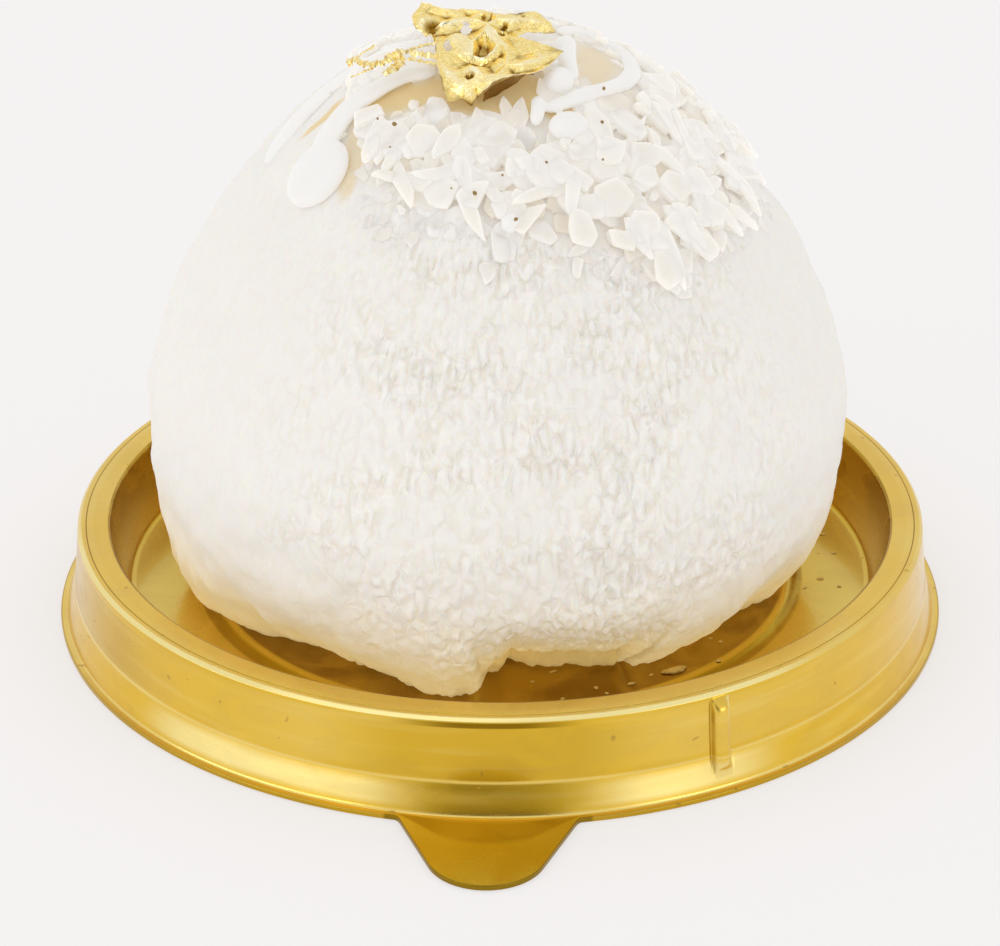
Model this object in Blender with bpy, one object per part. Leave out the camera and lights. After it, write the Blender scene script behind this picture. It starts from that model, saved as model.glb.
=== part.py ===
"""A mochi topped with coconut flakes, a cream drizzle and a leaf of gold, on its own shallow gold tray.

Metres, +Z up. The origin lies on the surface that the tray stands on, under the middle of the tray
and its tab. The tab points to -Y, which is the front. Azimuths are in degrees from the front
towards +X.
"""
import math
import random

import bmesh
import bpy
from mathutils import Matrix, Vector

MM = 0.001
CLEARANCE = 0.3 * MM

# Tray: one thin formed sheet with a flange, a flared skirt, a rolled rim and a raised disc.
SHEET = 0.5 * MM
FLANGE_RADIUS = 45.0 * MM
FLARE_RADIUS = 44.1 * MM
CREASE_RADIUS = 43.5 * MM
CREASE_HEIGHT = 3.6 * MM
SKIRT_RADIUS = 43.15 * MM
RIM_HEIGHT = 9.86 * MM
RIM_INNER_RADIUS = 39.4 * MM
WALL_FOOT_RADIUS = 37.9 * MM
FLOOR_HEIGHT = 2.5 * MM
STEP_RADIUS = 30.9 * MM
DISC_RADIUS = 29.6 * MM
DISC_HEIGHT = 3.0 * MM
TRAY_SEGMENTS = 57

# Pull tab, flat with the flange: straight flanks that run into a round end.
TAB_REACH = 10.2 * MM
TAB_ROOT_HALF_WIDTH = 8.2 * MM
TAB_END_RADIUS = 5.5 * MM
TAB_FLANK_POINTS = 3
TAB_END_POINTS = 5

# One raised half-round bead stands on the skirt.
BEAD_AZIMUTH = 29.2
BEAD_HALF_WIDTH = 0.95 * MM
BEAD_RELIEF = 0.55 * MM
BEAD_LOW = 2.4 * MM
BEAD_HIGH = 9.3 * MM

# Skin: a tall dome over a tucked-in foot, both superellipses that meet at the widest point.
SKIN_OFFSET_X = -0.25 * MM
SKIN_RADIUS = 34.7 * MM
SKIN_WAIST = 22.8 * MM
DOME_RISE = 37.0 * MM
DOME_POWERS = (1.578, 1.808)
FOOT_DEPTH = 27.2 * MM
FOOT_POWERS = (2.582, 2.356)
SKIN_COLUMNS = 58
DOME_ROWS = 12
FOOT_ROWS = 8

# Gathered hem where the skin meets the tray: (azimuth, half width, change of radius, lift).
HEM_RADIUS = 26.8 * MM
HEM_REACH = 12.0 * MM
HEM_WAVES = (
    (-60.0, 8.0, 0.7 * MM, 0.0),
    (-31.0, 11.0, -0.9 * MM, 0.8 * MM),
    (-10.0, 7.0, 1.5 * MM, -0.1 * MM),
    (3.5, 5.0, -3.6 * MM, 0.9 * MM),
    (17.0, 9.0, -2.0 * MM, 1.1 * MM),
    (37.0, 7.0, 0.4 * MM, 0.0),
    (51.0, 5.0, -1.2 * MM, 0.7 * MM),
    (68.0, 8.0, 0.9 * MM, 0.0),
)
BACK_WAVES = range(90, 281, 19)
BACK_WAVE_DEPTH = 1.4 * MM

# Pleats that run up from the hem: (azimuth, half width, depth, height).
PLEATS = (
    (-49.0, 4.0, 1.1 * MM, 9.0 * MM),
    (-22.0, 4.5, 0.5 * MM, 7.0 * MM),
    (1.0, 4.0, 1.3 * MM, 9.0 * MM),
    (30.0, 4.0, 1.2 * MM, 9.0 * MM),
    (52.0, 4.5, 0.8 * MM, 8.0 * MM),
    (110.0, 5.0, 0.9 * MM, 9.0 * MM),
    (165.0, 5.0, 1.1 * MM, 9.0 * MM),
    (215.0, 5.0, 0.8 * MM, 8.0 * MM),
    (262.0, 5.0, 1.0 * MM, 9.0 * MM),
)

# Coconut flakes cover the crown down to a height that changes round the dome.
FLAKE_COUNT = 120
FLAKE_LENGTH = (3.2 * MM, 5.4 * MM)
FLAKE_ASPECT = (0.5, 0.85)
FLAKE_THICKNESS = 0.6 * MM
FLAKE_TILT = 24.0
FLAKE_LIMITS = (
    (-90.0, 54.5 * MM),
    (-60.0, 53.6 * MM),
    (-46.0, 52.2 * MM),
    (-24.0, 49.2 * MM),
    (0.0, 47.4 * MM),
    (24.0, 46.0 * MM),
    (36.0, 42.2 * MM),
    (60.0, 44.5 * MM),
    (90.0, 44.5 * MM),
    (135.0, 48.5 * MM),
    (180.0, 51.0 * MM),
    (225.0, 53.0 * MM),
    (270.0, 54.5 * MM),
)

# Cream drizzle: plan points on the dome from the skin's axis, and the rise of the ribbon's middle.
RIBBON_HALF_HEIGHT = 0.75 * MM
DRIP_HALF_WIDTH = 1.25 * MM
DRIP_RIBBON = (
    (-16.2 * MM, -12.7 * MM, 0.6 * MM),
    (-14.9 * MM, -10.3 * MM, 1.0 * MM),
    (-13.2 * MM, -8.7 * MM, 1.2 * MM),
    (-11.0 * MM, -8.3 * MM, 1.3 * MM),
    (-8.3 * MM, -7.8 * MM, 1.2 * MM),
    (-5.4 * MM, -7.9 * MM, 0.6 * MM),
)
SIDE_HALF_WIDTH = 1.6 * MM
SIDE_RIBBON = (
    (-21.8 * MM, -7.0 * MM, 0.1 * MM),
    (-20.4 * MM, -4.4 * MM, 0.6 * MM),
    (-18.3 * MM, -2.3 * MM, 0.9 * MM),
    (-15.9 * MM, -0.6 * MM, 0.9 * MM),
    (-13.3 * MM, 0.6 * MM, 0.8 * MM),
    (-10.4 * MM, -0.2 * MM, 0.7 * MM),
    (-7.2 * MM, -1.8 * MM, 0.3 * MM),
)
LOOP_HALF_WIDTH = 1.05 * MM
LOOP_RIBBON = (
    (4.9 * MM, 0.9 * MM, 0.4 * MM),
    (7.0 * MM, 3.3 * MM, 0.7 * MM),
    (9.4 * MM, 3.6 * MM, 0.8 * MM),
    (11.0 * MM, 0.8 * MM, 0.8 * MM),
    (11.1 * MM, -3.0 * MM, 0.8 * MM),
    (9.8 * MM, -7.3 * MM, 0.8 * MM),
    (7.0 * MM, -10.3 * MM, 0.8 * MM),
    (4.4 * MM, -12.3 * MM, 0.4 * MM),
)
DASH_HALF_WIDTH = 0.8 * MM
DASH_RIBBON = (
    (3.9 * MM, -10.2 * MM, 0.7 * MM),
    (4.1 * MM, -11.1 * MM, 0.9 * MM),
    (3.9 * MM, -13.4 * MM, 0.4 * MM),
)

# Rounded lumps of cream: plan place, half sizes along and across the slope, and half height.
LUMPS = (
    (-16.3 * MM, -12.9 * MM, 3.5 * MM, 3.3 * MM, 1.5 * MM),
    (6.1 * MM, -8.6 * MM, 1.3 * MM, 1.3 * MM, 1.3 * MM),
    (6.8 * MM, -13.3 * MM, 2.1 * MM, 1.5 * MM, 1.2 * MM),
    (1.7 * MM, -21.6 * MM, 0.9 * MM, 0.9 * MM, 0.8 * MM),
)

# Gold leaf: a crumpled sheet that leans up the crown, with a torn strand to its left.
LEAF_PLACE = (-1.1 * MM, -7.9 * MM)
LEAF_LIFT = 2.0 * MM
LEAF_SLOPE = 27.0
LEAF_THICKNESS = 0.3 * MM
LEAF_OUTLINE = (
    (7.8 * MM, 1.2 * MM),
    (7.2 * MM, 3.0 * MM),
    (5.4 * MM, 5.4 * MM),
    (3.8 * MM, 5.9 * MM),
    (1.6 * MM, 5.3 * MM),
    (-0.6 * MM, 5.8 * MM),
    (-4.2 * MM, 6.0 * MM),
    (-6.6 * MM, 6.8 * MM),
    (-7.6 * MM, 4.6 * MM),
    (-6.0 * MM, 2.2 * MM),
    (-5.0 * MM, 0.0),
    (-5.0 * MM, -2.2 * MM),
    (-4.0 * MM, -5.0 * MM),
    (-1.6 * MM, -5.4 * MM),
    (0.2 * MM, -4.4 * MM),
    (2.8 * MM, -3.2 * MM),
    (5.6 * MM, -1.6 * MM),
)
LEAF_RINGS = 5
LEAF_STEPS_PER_SIDE = 2
LEAF_CREASES = (
    (20.0, 2.4, 0.55 * MM),
    (-38.0, 3.1, 0.5 * MM),
    (75.0, 4.3, 0.35 * MM),
)
STRAND_ROOT = ((-3.8 * MM, 0.9 * MM), (-5.0 * MM, 1.1 * MM))
STRAND = (
    (-7.9 * MM, -5.2 * MM, 2.5 * MM),
    (-9.2 * MM, -5.3 * MM, 2.4 * MM),
    (-10.6 * MM, -4.6 * MM, 2.3 * MM),
    (-11.9 * MM, -3.3 * MM, 2.3 * MM),
    (-13.0 * MM, -2.6 * MM, 2.3 * MM),
)
STRAND_HALF_WIDTH = 0.55 * MM

SEED = 11

# The tray's axis is set back so that the origin is the middle of tray and tab together.
TRAY_AXIS = Vector((0.0, TAB_REACH / 2, 0.0))
SKIN_AXIS = TRAY_AXIS + Vector((SKIN_OFFSET_X, 0.0, 0.0))
SKIN_BASE = DISC_HEIGHT + CLEARANCE


def clear_scene():
    for item in list(bpy.data.objects):
        bpy.data.objects.remove(item, do_unlink=True)


def finish_material(name, colour, roughness, metallic):
    material = bpy.data.materials.new(name)
    material.use_nodes = True
    shader = material.node_tree.nodes["Principled BSDF"]
    shader.inputs["Base Color"].default_value = (*colour, 1.0)
    shader.inputs["Roughness"].default_value = roughness
    shader.inputs["Metallic"].default_value = metallic
    return material


def mesh_object(name, mesh_data, material=None):
    """Makes an object from a bmesh, with its faces turned outwards."""
    bmesh.ops.recalc_face_normals(mesh_data, faces=mesh_data.faces)
    mesh = bpy.data.meshes.new(name)
    mesh_data.to_mesh(mesh)
    mesh_data.free()
    if material:
        mesh.materials.append(material)
    item = bpy.data.objects.new(name, mesh)
    bpy.context.scene.collection.objects.link(item)
    return item


def around(azimuth, radius, height):
    """A point at an azimuth in degrees from the front, a radius and a height."""
    angle = math.radians(azimuth)
    return Vector((radius * math.sin(angle), -radius * math.cos(angle), height))


def join_rings(mesh_data, rings, close_ends=True):
    """Skins a list of closed vertex rings of one length, and caps both ends."""
    count = len(rings[0])
    for low, high in zip(rings, rings[1:]):
        for i in range(count):
            j = (i + 1) % count
            mesh_data.faces.new((low[i], low[j], high[j], high[i]))
    if close_ends:
        mesh_data.faces.new(list(reversed(rings[0])))
        mesh_data.faces.new(rings[-1])


def fan(mesh_data, centre, ring):
    for i, vertex in enumerate(ring):
        mesh_data.faces.new((centre, vertex, ring[(i + 1) % len(ring)]))


def smooth_path(points, steps):
    """Points on a Catmull-Rom curve through the given ones, with so many steps to a span."""
    ends = [points[0] * 2 - points[1], *points, points[-1] * 2 - points[-2]]
    path = []
    for before, start, end, after in zip(ends, ends[1:], ends[2:], ends[3:]):
        for i in range(steps):
            t = i / steps
            path.append(
                0.5
                * (
                    2 * start
                    + (end - before) * t
                    + (2 * before - 5 * start + 4 * end - after) * t**2
                    + (3 * start - before - 3 * end + after) * t**3
                )
            )
    path.append(points[-1])
    return path


# ---------------------------------------------------------------------------------------- tray


def tray_top_path():
    """Radius and height along the sheet's upper face, from the middle out to the flange."""
    soft = SHEET * 0.7
    return [
        (0.0, DISC_HEIGHT),
        (DISC_RADIUS, DISC_HEIGHT),
        (STEP_RADIUS, FLOOR_HEIGHT),
        (WALL_FOOT_RADIUS - soft, FLOOR_HEIGHT),
        (WALL_FOOT_RADIUS, FLOOR_HEIGHT + soft),
        (RIM_INNER_RADIUS, RIM_HEIGHT - 2 * soft),
        (RIM_INNER_RADIUS + soft, RIM_HEIGHT - soft / 2),
        (RIM_INNER_RADIUS + 2 * soft, RIM_HEIGHT),
        (SKIRT_RADIUS - 2 * soft, RIM_HEIGHT),
        (SKIRT_RADIUS - soft / 2, RIM_HEIGHT - soft / 2),
        (SKIRT_RADIUS, RIM_HEIGHT - 2 * soft),
        (CREASE_RADIUS, CREASE_HEIGHT),
        (FLARE_RADIUS, SHEET + soft),
        (FLARE_RADIUS + soft, SHEET),
        (FLANGE_RADIUS, SHEET),
    ]


def tray_under_path():
    """Radius and height along the sheet's lower face, from the flange back to the middle."""
    return [
        (FLANGE_RADIUS, 0.0),
        (FLARE_RADIUS - SHEET, 0.0),
        (CREASE_RADIUS - SHEET, CREASE_HEIGHT),
        (SKIRT_RADIUS - SHEET, RIM_HEIGHT - SHEET),
        (RIM_INNER_RADIUS + SHEET, RIM_HEIGHT - SHEET),
        (WALL_FOOT_RADIUS + SHEET, FLOOR_HEIGHT - SHEET),
        (STEP_RADIUS, FLOOR_HEIGHT - SHEET),
        (DISC_RADIUS, DISC_HEIGHT - SHEET),
        (0.0, DISC_HEIGHT - SHEET),
    ]


def tab_outline():
    """Azimuth and radius along the tab's edge, from its left root to its right one."""
    root = Vector((TAB_ROOT_HALF_WIDTH, math.sqrt(FLANGE_RADIUS**2 - TAB_ROOT_HALF_WIDTH**2)))
    centre = Vector((0.0, FLANGE_RADIUS + TAB_REACH - TAB_END_RADIUS))
    gap = root - centre
    tangent = math.atan2(gap.x, gap.y) - math.acos(TAB_END_RADIUS / gap.length)
    end = []
    for i in range(TAB_END_POINTS + 1):
        angle = tangent * (1 - i / TAB_END_POINTS)
        end.append(centre + TAB_END_RADIUS * Vector((math.sin(angle), math.cos(angle))))
    flank = [root.lerp(end[0], i / TAB_FLANK_POINTS) for i in range(TAB_FLANK_POINTS)]
    right = [(math.degrees(math.atan2(p.x, p.y)), p.length) for p in flank + end]
    left = [(-azimuth, radius) for azimuth, radius in right[:-1]]
    return left + right[::-1]


def tray_columns():
    """Azimuth of each column of the tray with the radius of its flange there."""
    tab = tab_outline()
    start = tab[-1][0]
    step = (360.0 - 2 * start) / TRAY_SEGMENTS
    return tab + [(start + step * i, FLANGE_RADIUS) for i in range(1, TRAY_SEGMENTS)]


def skirt_radius(height):
    """Outer radius of the flare below the crease and of the skirt above it."""
    if height < CREASE_HEIGHT:
        share = (height - SHEET) / (CREASE_HEIGHT - SHEET)
        return FLARE_RADIUS + (CREASE_RADIUS - FLARE_RADIUS) * share
    share = (height - CREASE_HEIGHT) / (RIM_HEIGHT - CREASE_HEIGHT)
    return CREASE_RADIUS + (SKIRT_RADIUS - CREASE_RADIUS) * share


def make_bead():
    """The half-round bead, with its back sunk half way into the sheet."""
    mesh_data = bmesh.new()
    rings = []
    stations = (0.0, 0.08, 0.2, 0.5, 0.8, 0.92, 1.0)
    for share in stations:
        height = BEAD_LOW + (BEAD_HIGH - BEAD_LOW) * share
        relief = BEAD_RELIEF * max(0.0, 1 - abs(2 * share - 1) ** 6)
        base = skirt_radius(height)
        section = [(-1.0, -SHEET / 2), (1.0, -SHEET / 2), (1.0, 0.0)]
        section += [(0.6, relief * 0.8), (0.0, relief), (-0.6, relief * 0.8), (-1.0, 0.0)]
        ring = []
        for across, out in section:
            turn = math.degrees(across * BEAD_HALF_WIDTH / base)
            place = TRAY_AXIS + around(BEAD_AZIMUTH + turn, base + out, height)
            ring.append(mesh_data.verts.new(place))
        rings.append(ring)
    join_rings(mesh_data, rings)
    return mesh_object("bead", mesh_data)


def make_tray(material):
    mesh_data = bmesh.new()
    columns = tray_columns()
    path = tray_top_path() + tray_under_path()
    rings = []
    for radius, height in path[1:-1]:
        ring = []
        for azimuth, edge in columns:
            reach = edge if radius == FLANGE_RADIUS else radius
            ring.append(mesh_data.verts.new(TRAY_AXIS + around(azimuth, reach, height)))
        rings.append(ring)
    join_rings(mesh_data, rings, close_ends=False)
    fan(mesh_data, mesh_data.verts.new(TRAY_AXIS + around(0.0, 0.0, path[0][1])), rings[0])
    fan(mesh_data, mesh_data.verts.new(TRAY_AXIS + around(0.0, 0.0, path[-1][1])), rings[-1])
    tray = mesh_object("tray", mesh_data, material)
    join_solids(tray, [make_bead()])
    return tray


# --------------------------------------------------------------------------------------- mochi


def skin_radius(height):
    """Radius of the plain skin at a height."""
    if height >= SKIN_WAIST:
        share = min(1.0, (height - SKIN_WAIST) / DOME_RISE)
        lift, spread = DOME_POWERS
    else:
        share = min(1.0, (SKIN_WAIST - height) / FOOT_DEPTH)
        lift, spread = FOOT_POWERS
    return SKIN_RADIUS * (1 - share**lift) ** (1 / spread)


def dome_height(radius):
    """Height of the plain dome at a radius from its axis."""
    lift, spread = DOME_POWERS
    share = min(1.0, radius / SKIN_RADIUS)
    return SKIN_WAIST + DOME_RISE * (1 - share**spread) ** (1 / lift)


def on_dome(x, y, rise=0.0):
    """The point above a plan place on the dome, and the dome's outward direction there."""
    radius = math.hypot(x, y)
    step = 0.1 * MM
    slope = (dome_height(radius + step) - dome_height(radius)) / step
    direction = Vector((x, y, 0.0)).normalized() if radius else Vector()
    normal = (Vector((0.0, 0.0, 1.0)) - direction * slope).normalized()
    place = SKIN_AXIS + Vector((x, y, dome_height(radius))) + normal * rise
    return place, normal


def angle_between(first, second):
    return abs((first - second + 180.0) % 360.0 - 180.0)


def bump(azimuth, centre, half_width):
    return math.exp(-((angle_between(azimuth, centre) / half_width) ** 2))


def all_hem_waves():
    """The waves at the front, and like ones round the back."""
    rule = random.Random(SEED)
    waves = list(HEM_WAVES)
    for azimuth in BACK_WAVES:
        depth = rule.uniform(-BACK_WAVE_DEPTH, BACK_WAVE_DEPTH)
        lift = max(0.0, -depth) * 0.6
        waves.append((azimuth + rule.uniform(-5.0, 5.0), rule.uniform(6.0, 10.0), depth, lift))
    return waves


def hem_at(azimuth, waves):
    """Radius and lift of the hem's edge at an azimuth."""
    radius = HEM_RADIUS
    lift = 0.0
    for centre, half_width, change, rise in waves:
        share = bump(azimuth, centre, half_width)
        radius += change * share
        lift += rise * share
    return radius, max(0.0, lift)


def pleat_depth(azimuth, height):
    depth = 0.0
    for centre, half_width, most, reach in PLEATS:
        fade = max(0.0, 1 - (height - SKIN_BASE) / reach)
        depth += most * fade * bump(azimuth, centre, half_width * (0.4 + 0.6 * fade))
    return depth


def make_skin(material):
    """The filled skin: a flat base, a scalloped hem with pleats, and the dome."""
    waves = all_hem_waves()
    foot_span = SKIN_WAIST - SKIN_BASE
    foot_rise = 1.6 * MM
    heights = []
    for i in range(FOOT_ROWS):
        share = (i / FOOT_ROWS) ** 1.35
        heights.append(SKIN_BASE + foot_rise + (foot_span - foot_rise) * share)
    for i in range(DOME_ROWS):
        heights.append(SKIN_WAIST + DOME_RISE * math.sin(math.pi / 2 * i / DOME_ROWS))
    mesh_data = bmesh.new()
    rings = [[] for _ in range(len(heights) + 3)]
    for column in range(SKIN_COLUMNS):
        azimuth = 360.0 * column / SKIN_COLUMNS
        hem, lift = hem_at(azimuth, waves)
        hem -= pleat_depth(azimuth, SKIN_BASE)
        edge = [
            (hem - 7.0 * MM, SKIN_BASE),
            (hem - 1.4 * MM, SKIN_BASE + lift * 0.6),
            (hem - 0.3 * MM, SKIN_BASE + lift + 0.3 * MM),
        ]
        for ring, (radius, height) in zip(rings, edge):
            ring.append(mesh_data.verts.new(SKIN_AXIS + around(azimuth, radius, height)))
        for ring, height in zip(rings[3:], heights):
            fade = max(0.0, 1 - (height - SKIN_BASE) / HEM_REACH)
            radius = skin_radius(height) - pleat_depth(azimuth, height) * (fade > 0)
            radius += (hem - skin_radius(SKIN_BASE)) * fade**1.5
            raised = height + lift * fade**2
            ring.append(mesh_data.verts.new(SKIN_AXIS + around(azimuth, radius, raised)))
    join_rings(mesh_data, rings, close_ends=False)
    fan(mesh_data, mesh_data.verts.new(SKIN_AXIS + around(0.0, 0.0, SKIN_BASE)), rings[0])
    top = SKIN_AXIS + around(0.0, 0.0, SKIN_WAIST + DOME_RISE)
    fan(mesh_data, mesh_data.verts.new(top), rings[-1])
    return mesh_object("mochi", mesh_data, material)


def limit_height(azimuth):
    """Lowest height at which flakes lie, read between the listed azimuths."""
    turned = (azimuth + 90.0) % 360.0 - 90.0
    for (low, first), (high, second) in zip(FLAKE_LIMITS, FLAKE_LIMITS[1:]):
        if turned <= high:
            return first + (second - first) * (turned - low) / (high - low)
    return FLAKE_LIMITS[-1][1]


def near_path(x, y, path, distance):
    for point in path:
        if math.hypot(x - point[0], y - point[1]) < distance:
            return True
    return False


def under_leaf(x, y, margin):
    """Whether a plan place lies below the leaf, or within a margin of it."""
    half_width = 7.0 * MM + margin
    half_depth = 5.0 * MM + margin
    across = (x - LEAF_PLACE[0]) / half_width
    along = (y - LEAF_PLACE[1]) / half_depth
    return across**2 + along**2 < 1


def flake_places():
    """Evenly spread plan places on the crown, clear of the drizzle, the lumps and the leaf."""
    rule = random.Random(SEED)
    widest = SKIN_RADIUS * 0.82
    drizzle = [
        smooth_path([Vector(p) for p in path], 4)
        for path in (DRIP_RIBBON, SIDE_RIBBON, LOOP_RIBBON, DASH_RIBBON, STRAND)
    ]
    places = []
    while len(places) < FLAKE_COUNT:
        best = None
        for _ in range(24):
            radius = widest * math.sqrt(rule.random())
            azimuth = rule.uniform(0.0, 360.0)
            x, y, _height = around(azimuth, radius, 0.0)
            if dome_height(radius) < limit_height(azimuth) + rule.uniform(0.0, 1.4 * MM):
                continue
            if any(near_path(x, y, path, 1.7 * MM) for path in drizzle):
                continue
            if any(math.hypot(x - lump[0], y - lump[1]) < lump[2] for lump in LUMPS):
                continue
            if under_leaf(x, y, 1.2 * MM):
                continue
            place, _normal = on_dome(x, y)
            room = min(((place - other).length for _x, _y, other in places), default=1.0)
            if best is None or room > best[0]:
                best = (room, (x, y, place))
        if best:
            places.append(best[1])
    return places, rule


def make_flake(index, x, y, rule):
    """One bent chip of coconut: three unequal cross sections, set at a tilt on the dome."""
    length = rule.uniform(*FLAKE_LENGTH)
    width = length * rule.uniform(*FLAKE_ASPECT)
    bend = rule.uniform(-0.5, 0.9) * MM
    place, normal = on_dome(x, y, FLAKE_THICKNESS * 0.55)
    spin = Matrix.Rotation(rule.uniform(0.0, math.tau), 4, "Z")
    tilt = Matrix.Rotation(math.radians(rule.uniform(-FLAKE_TILT, FLAKE_TILT)), 4, "Y")
    turn = Vector((0.0, 0.0, 1.0)).rotation_difference(normal).to_matrix().to_4x4()
    pose = Matrix.Translation(place) @ turn @ spin @ tilt
    mesh_data = bmesh.new()
    rings = []
    for share in (-0.5, rule.uniform(-0.15, 0.15), 0.5):
        half = width / 2 * rule.uniform(0.8, 1.0)
        if abs(share) == 0.5:
            half *= rule.uniform(0.3, 0.8)
        side = rule.uniform(-0.12, 0.12) * width
        rise = bend * (1 - 4 * share**2)
        half_thick = FLAKE_THICKNESS / 2
        corners = (
            (side - half, rise - half_thick),
            (side + half, rise - half_thick),
            (side + half, rise + half_thick),
            (side - half, rise + half_thick),
        )
        ring = [mesh_data.verts.new(pose @ Vector((share * length, a, b))) for a, b in corners]
        rings.append(ring)
    join_rings(mesh_data, rings)
    return mesh_object(f"flake_{index}", mesh_data)


def make_ribbon(name, points, half_width, sides=6):
    """A drizzled ribbon that follows plan points on the dome and thins out at both ends."""
    path = smooth_path([Vector(p) for p in points], 3)
    places = [on_dome(*point) for point in path]
    mesh_data = bmesh.new()
    rings = []
    for i, (place, normal) in enumerate(places):
        ahead = places[min(i + 1, len(places) - 1)][0]
        behind = places[max(i - 1, 0)][0]
        across = (ahead - behind).cross(normal).normalized()
        end = min(i, len(places) - 1 - i)
        size = (0.5, 0.85)[end] if end < 2 else 1.0
        ring = []
        for k in range(sides):
            angle = math.tau * k / sides
            sideways = across * (half_width * size * math.cos(angle))
            upwards = normal * (RIBBON_HALF_HEIGHT * size * math.sin(angle))
            ring.append(mesh_data.verts.new(place + sideways + upwards))
        rings.append(ring)
    join_rings(mesh_data, rings)
    return mesh_object(name, mesh_data)


def make_lump(index, x, y, half_length, half_width, half_height):
    """A rounded lump that sits half sunk on the dome."""
    place, normal = on_dome(x, y, half_height * 0.45)
    turn = Vector((0.0, 0.0, 1.0)).rotation_difference(normal).to_matrix().to_4x4()
    scale = Matrix.Diagonal((half_length, half_width, half_height, 1.0))
    mesh_data = bmesh.new()
    pose = Matrix.Translation(place) @ turn @ scale
    bmesh.ops.create_uvsphere(mesh_data, u_segments=10, v_segments=6, radius=1.0, matrix=pose)
    return mesh_object(f"lump_{index}", mesh_data)


def keep_largest_body(mesh_data):
    """Drops loose scraps and the walls of sealed hollows that a union leaves."""
    mesh_data.verts.ensure_lookup_table()
    left = set(mesh_data.verts)
    bodies = []
    while left:
        seed = left.pop()
        body = [seed]
        queue = [seed]
        while queue:
            vertex = queue.pop()
            for edge in vertex.link_edges:
                other = edge.other_vert(vertex)
                if other in left:
                    left.remove(other)
                    body.append(other)
                    queue.append(other)
        bodies.append(body)
    bodies.sort(key=len)
    scraps = [vertex for body in bodies[:-1] for vertex in body]
    bmesh.ops.delete(mesh_data, geom=scraps, context="VERTS")


def join_solids(target, solids):
    """Fuses solids onto a target with one Boolean union, applied, and removes them."""
    holder = bpy.data.collections.new("to_join")
    bpy.context.scene.collection.children.link(holder)
    for solid in solids:
        holder.objects.link(solid)
    union = target.modifiers.new("join", "BOOLEAN")
    union.operation = "UNION"
    union.operand_type = "COLLECTION"
    union.collection = holder
    union.solver = "EXACT"
    graph = bpy.context.evaluated_depsgraph_get()
    joined = bpy.data.meshes.new_from_object(target.evaluated_get(graph))
    target.modifiers.remove(union)
    mesh_data = bmesh.new()
    mesh_data.from_mesh(joined)
    bmesh.ops.remove_doubles(mesh_data, verts=mesh_data.verts, dist=0.001 * MM)
    keep_largest_body(mesh_data)
    bmesh.ops.triangulate(mesh_data, faces=mesh_data.faces)
    mesh_data.to_mesh(joined)
    mesh_data.free()
    target.data = joined
    for solid in solids:
        bpy.data.objects.remove(solid, do_unlink=True)
    bpy.data.collections.remove(holder)


def make_mochi(material):
    mochi = make_skin(material)
    toppings = [
        make_ribbon("drip_ribbon", DRIP_RIBBON, DRIP_HALF_WIDTH),
        make_ribbon("side_ribbon", SIDE_RIBBON, SIDE_HALF_WIDTH),
        make_ribbon("loop_ribbon", LOOP_RIBBON, LOOP_HALF_WIDTH),
        make_ribbon("dash_ribbon", DASH_RIBBON, DASH_HALF_WIDTH),
    ]
    toppings += [make_lump(i, *lump) for i, lump in enumerate(LUMPS)]
    places, rule = flake_places()
    toppings += [make_flake(i, x, y, rule) for i, (x, y, _place) in enumerate(places)]
    join_solids(mochi, toppings)
    return mochi


# ----------------------------------------------------------------------------------- gold leaf


def crumple(u, v):
    """Rise of the crumpled leaf above its own plane: folds that cross at several angles."""
    rise = 0.0
    for direction, pitch, depth in LEAF_CREASES:
        angle = math.radians(direction)
        along = (u * math.cos(angle) + v * math.sin(angle)) / (pitch * MM)
        rise += depth * (1 - 2 * abs((along % 2.0) - 1))
    return rise


def leaf_pose():
    """The leaf's own frame: u to the right, v up its slope, and its rise along the third axis."""
    base, _normal = on_dome(*LEAF_PLACE)
    origin = base + Vector((0.0, 0.0, LEAF_LIFT))
    return Matrix.Translation(origin) @ Matrix.Rotation(math.radians(LEAF_SLOPE), 4, "X")


def make_leaf_sheet():
    """The torn sheet, as rings about its middle with an upper and a lower face alike."""
    pose = leaf_pose()
    outline = []
    corners = [Vector(point) for point in LEAF_OUTLINE]
    for start, end in zip(corners, corners[1:] + corners[:1]):
        outline += [start.lerp(end, i / LEAF_STEPS_PER_SIDE) for i in range(LEAF_STEPS_PER_SIDE)]
    mesh_data = bmesh.new()
    faces = []
    for side in (1, -1):
        rings = []
        for i in range(LEAF_RINGS, 0, -1):
            ring = []
            for point in outline:
                u, v = point * (i / LEAF_RINGS)
                rise = crumple(u, v) + side * LEAF_THICKNESS / 2
                ring.append(mesh_data.verts.new(pose @ Vector((u, v, rise))))
            rings.append(ring)
        join_rings(mesh_data, rings, close_ends=False)
        middle = Vector((0.0, 0.0, crumple(0.0, 0.0) + side * LEAF_THICKNESS / 2))
        fan(mesh_data, mesh_data.verts.new(pose @ middle), rings[-1])
        faces.append(rings[0])
    join_rings(mesh_data, faces, close_ends=False)
    return mesh_data


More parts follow.
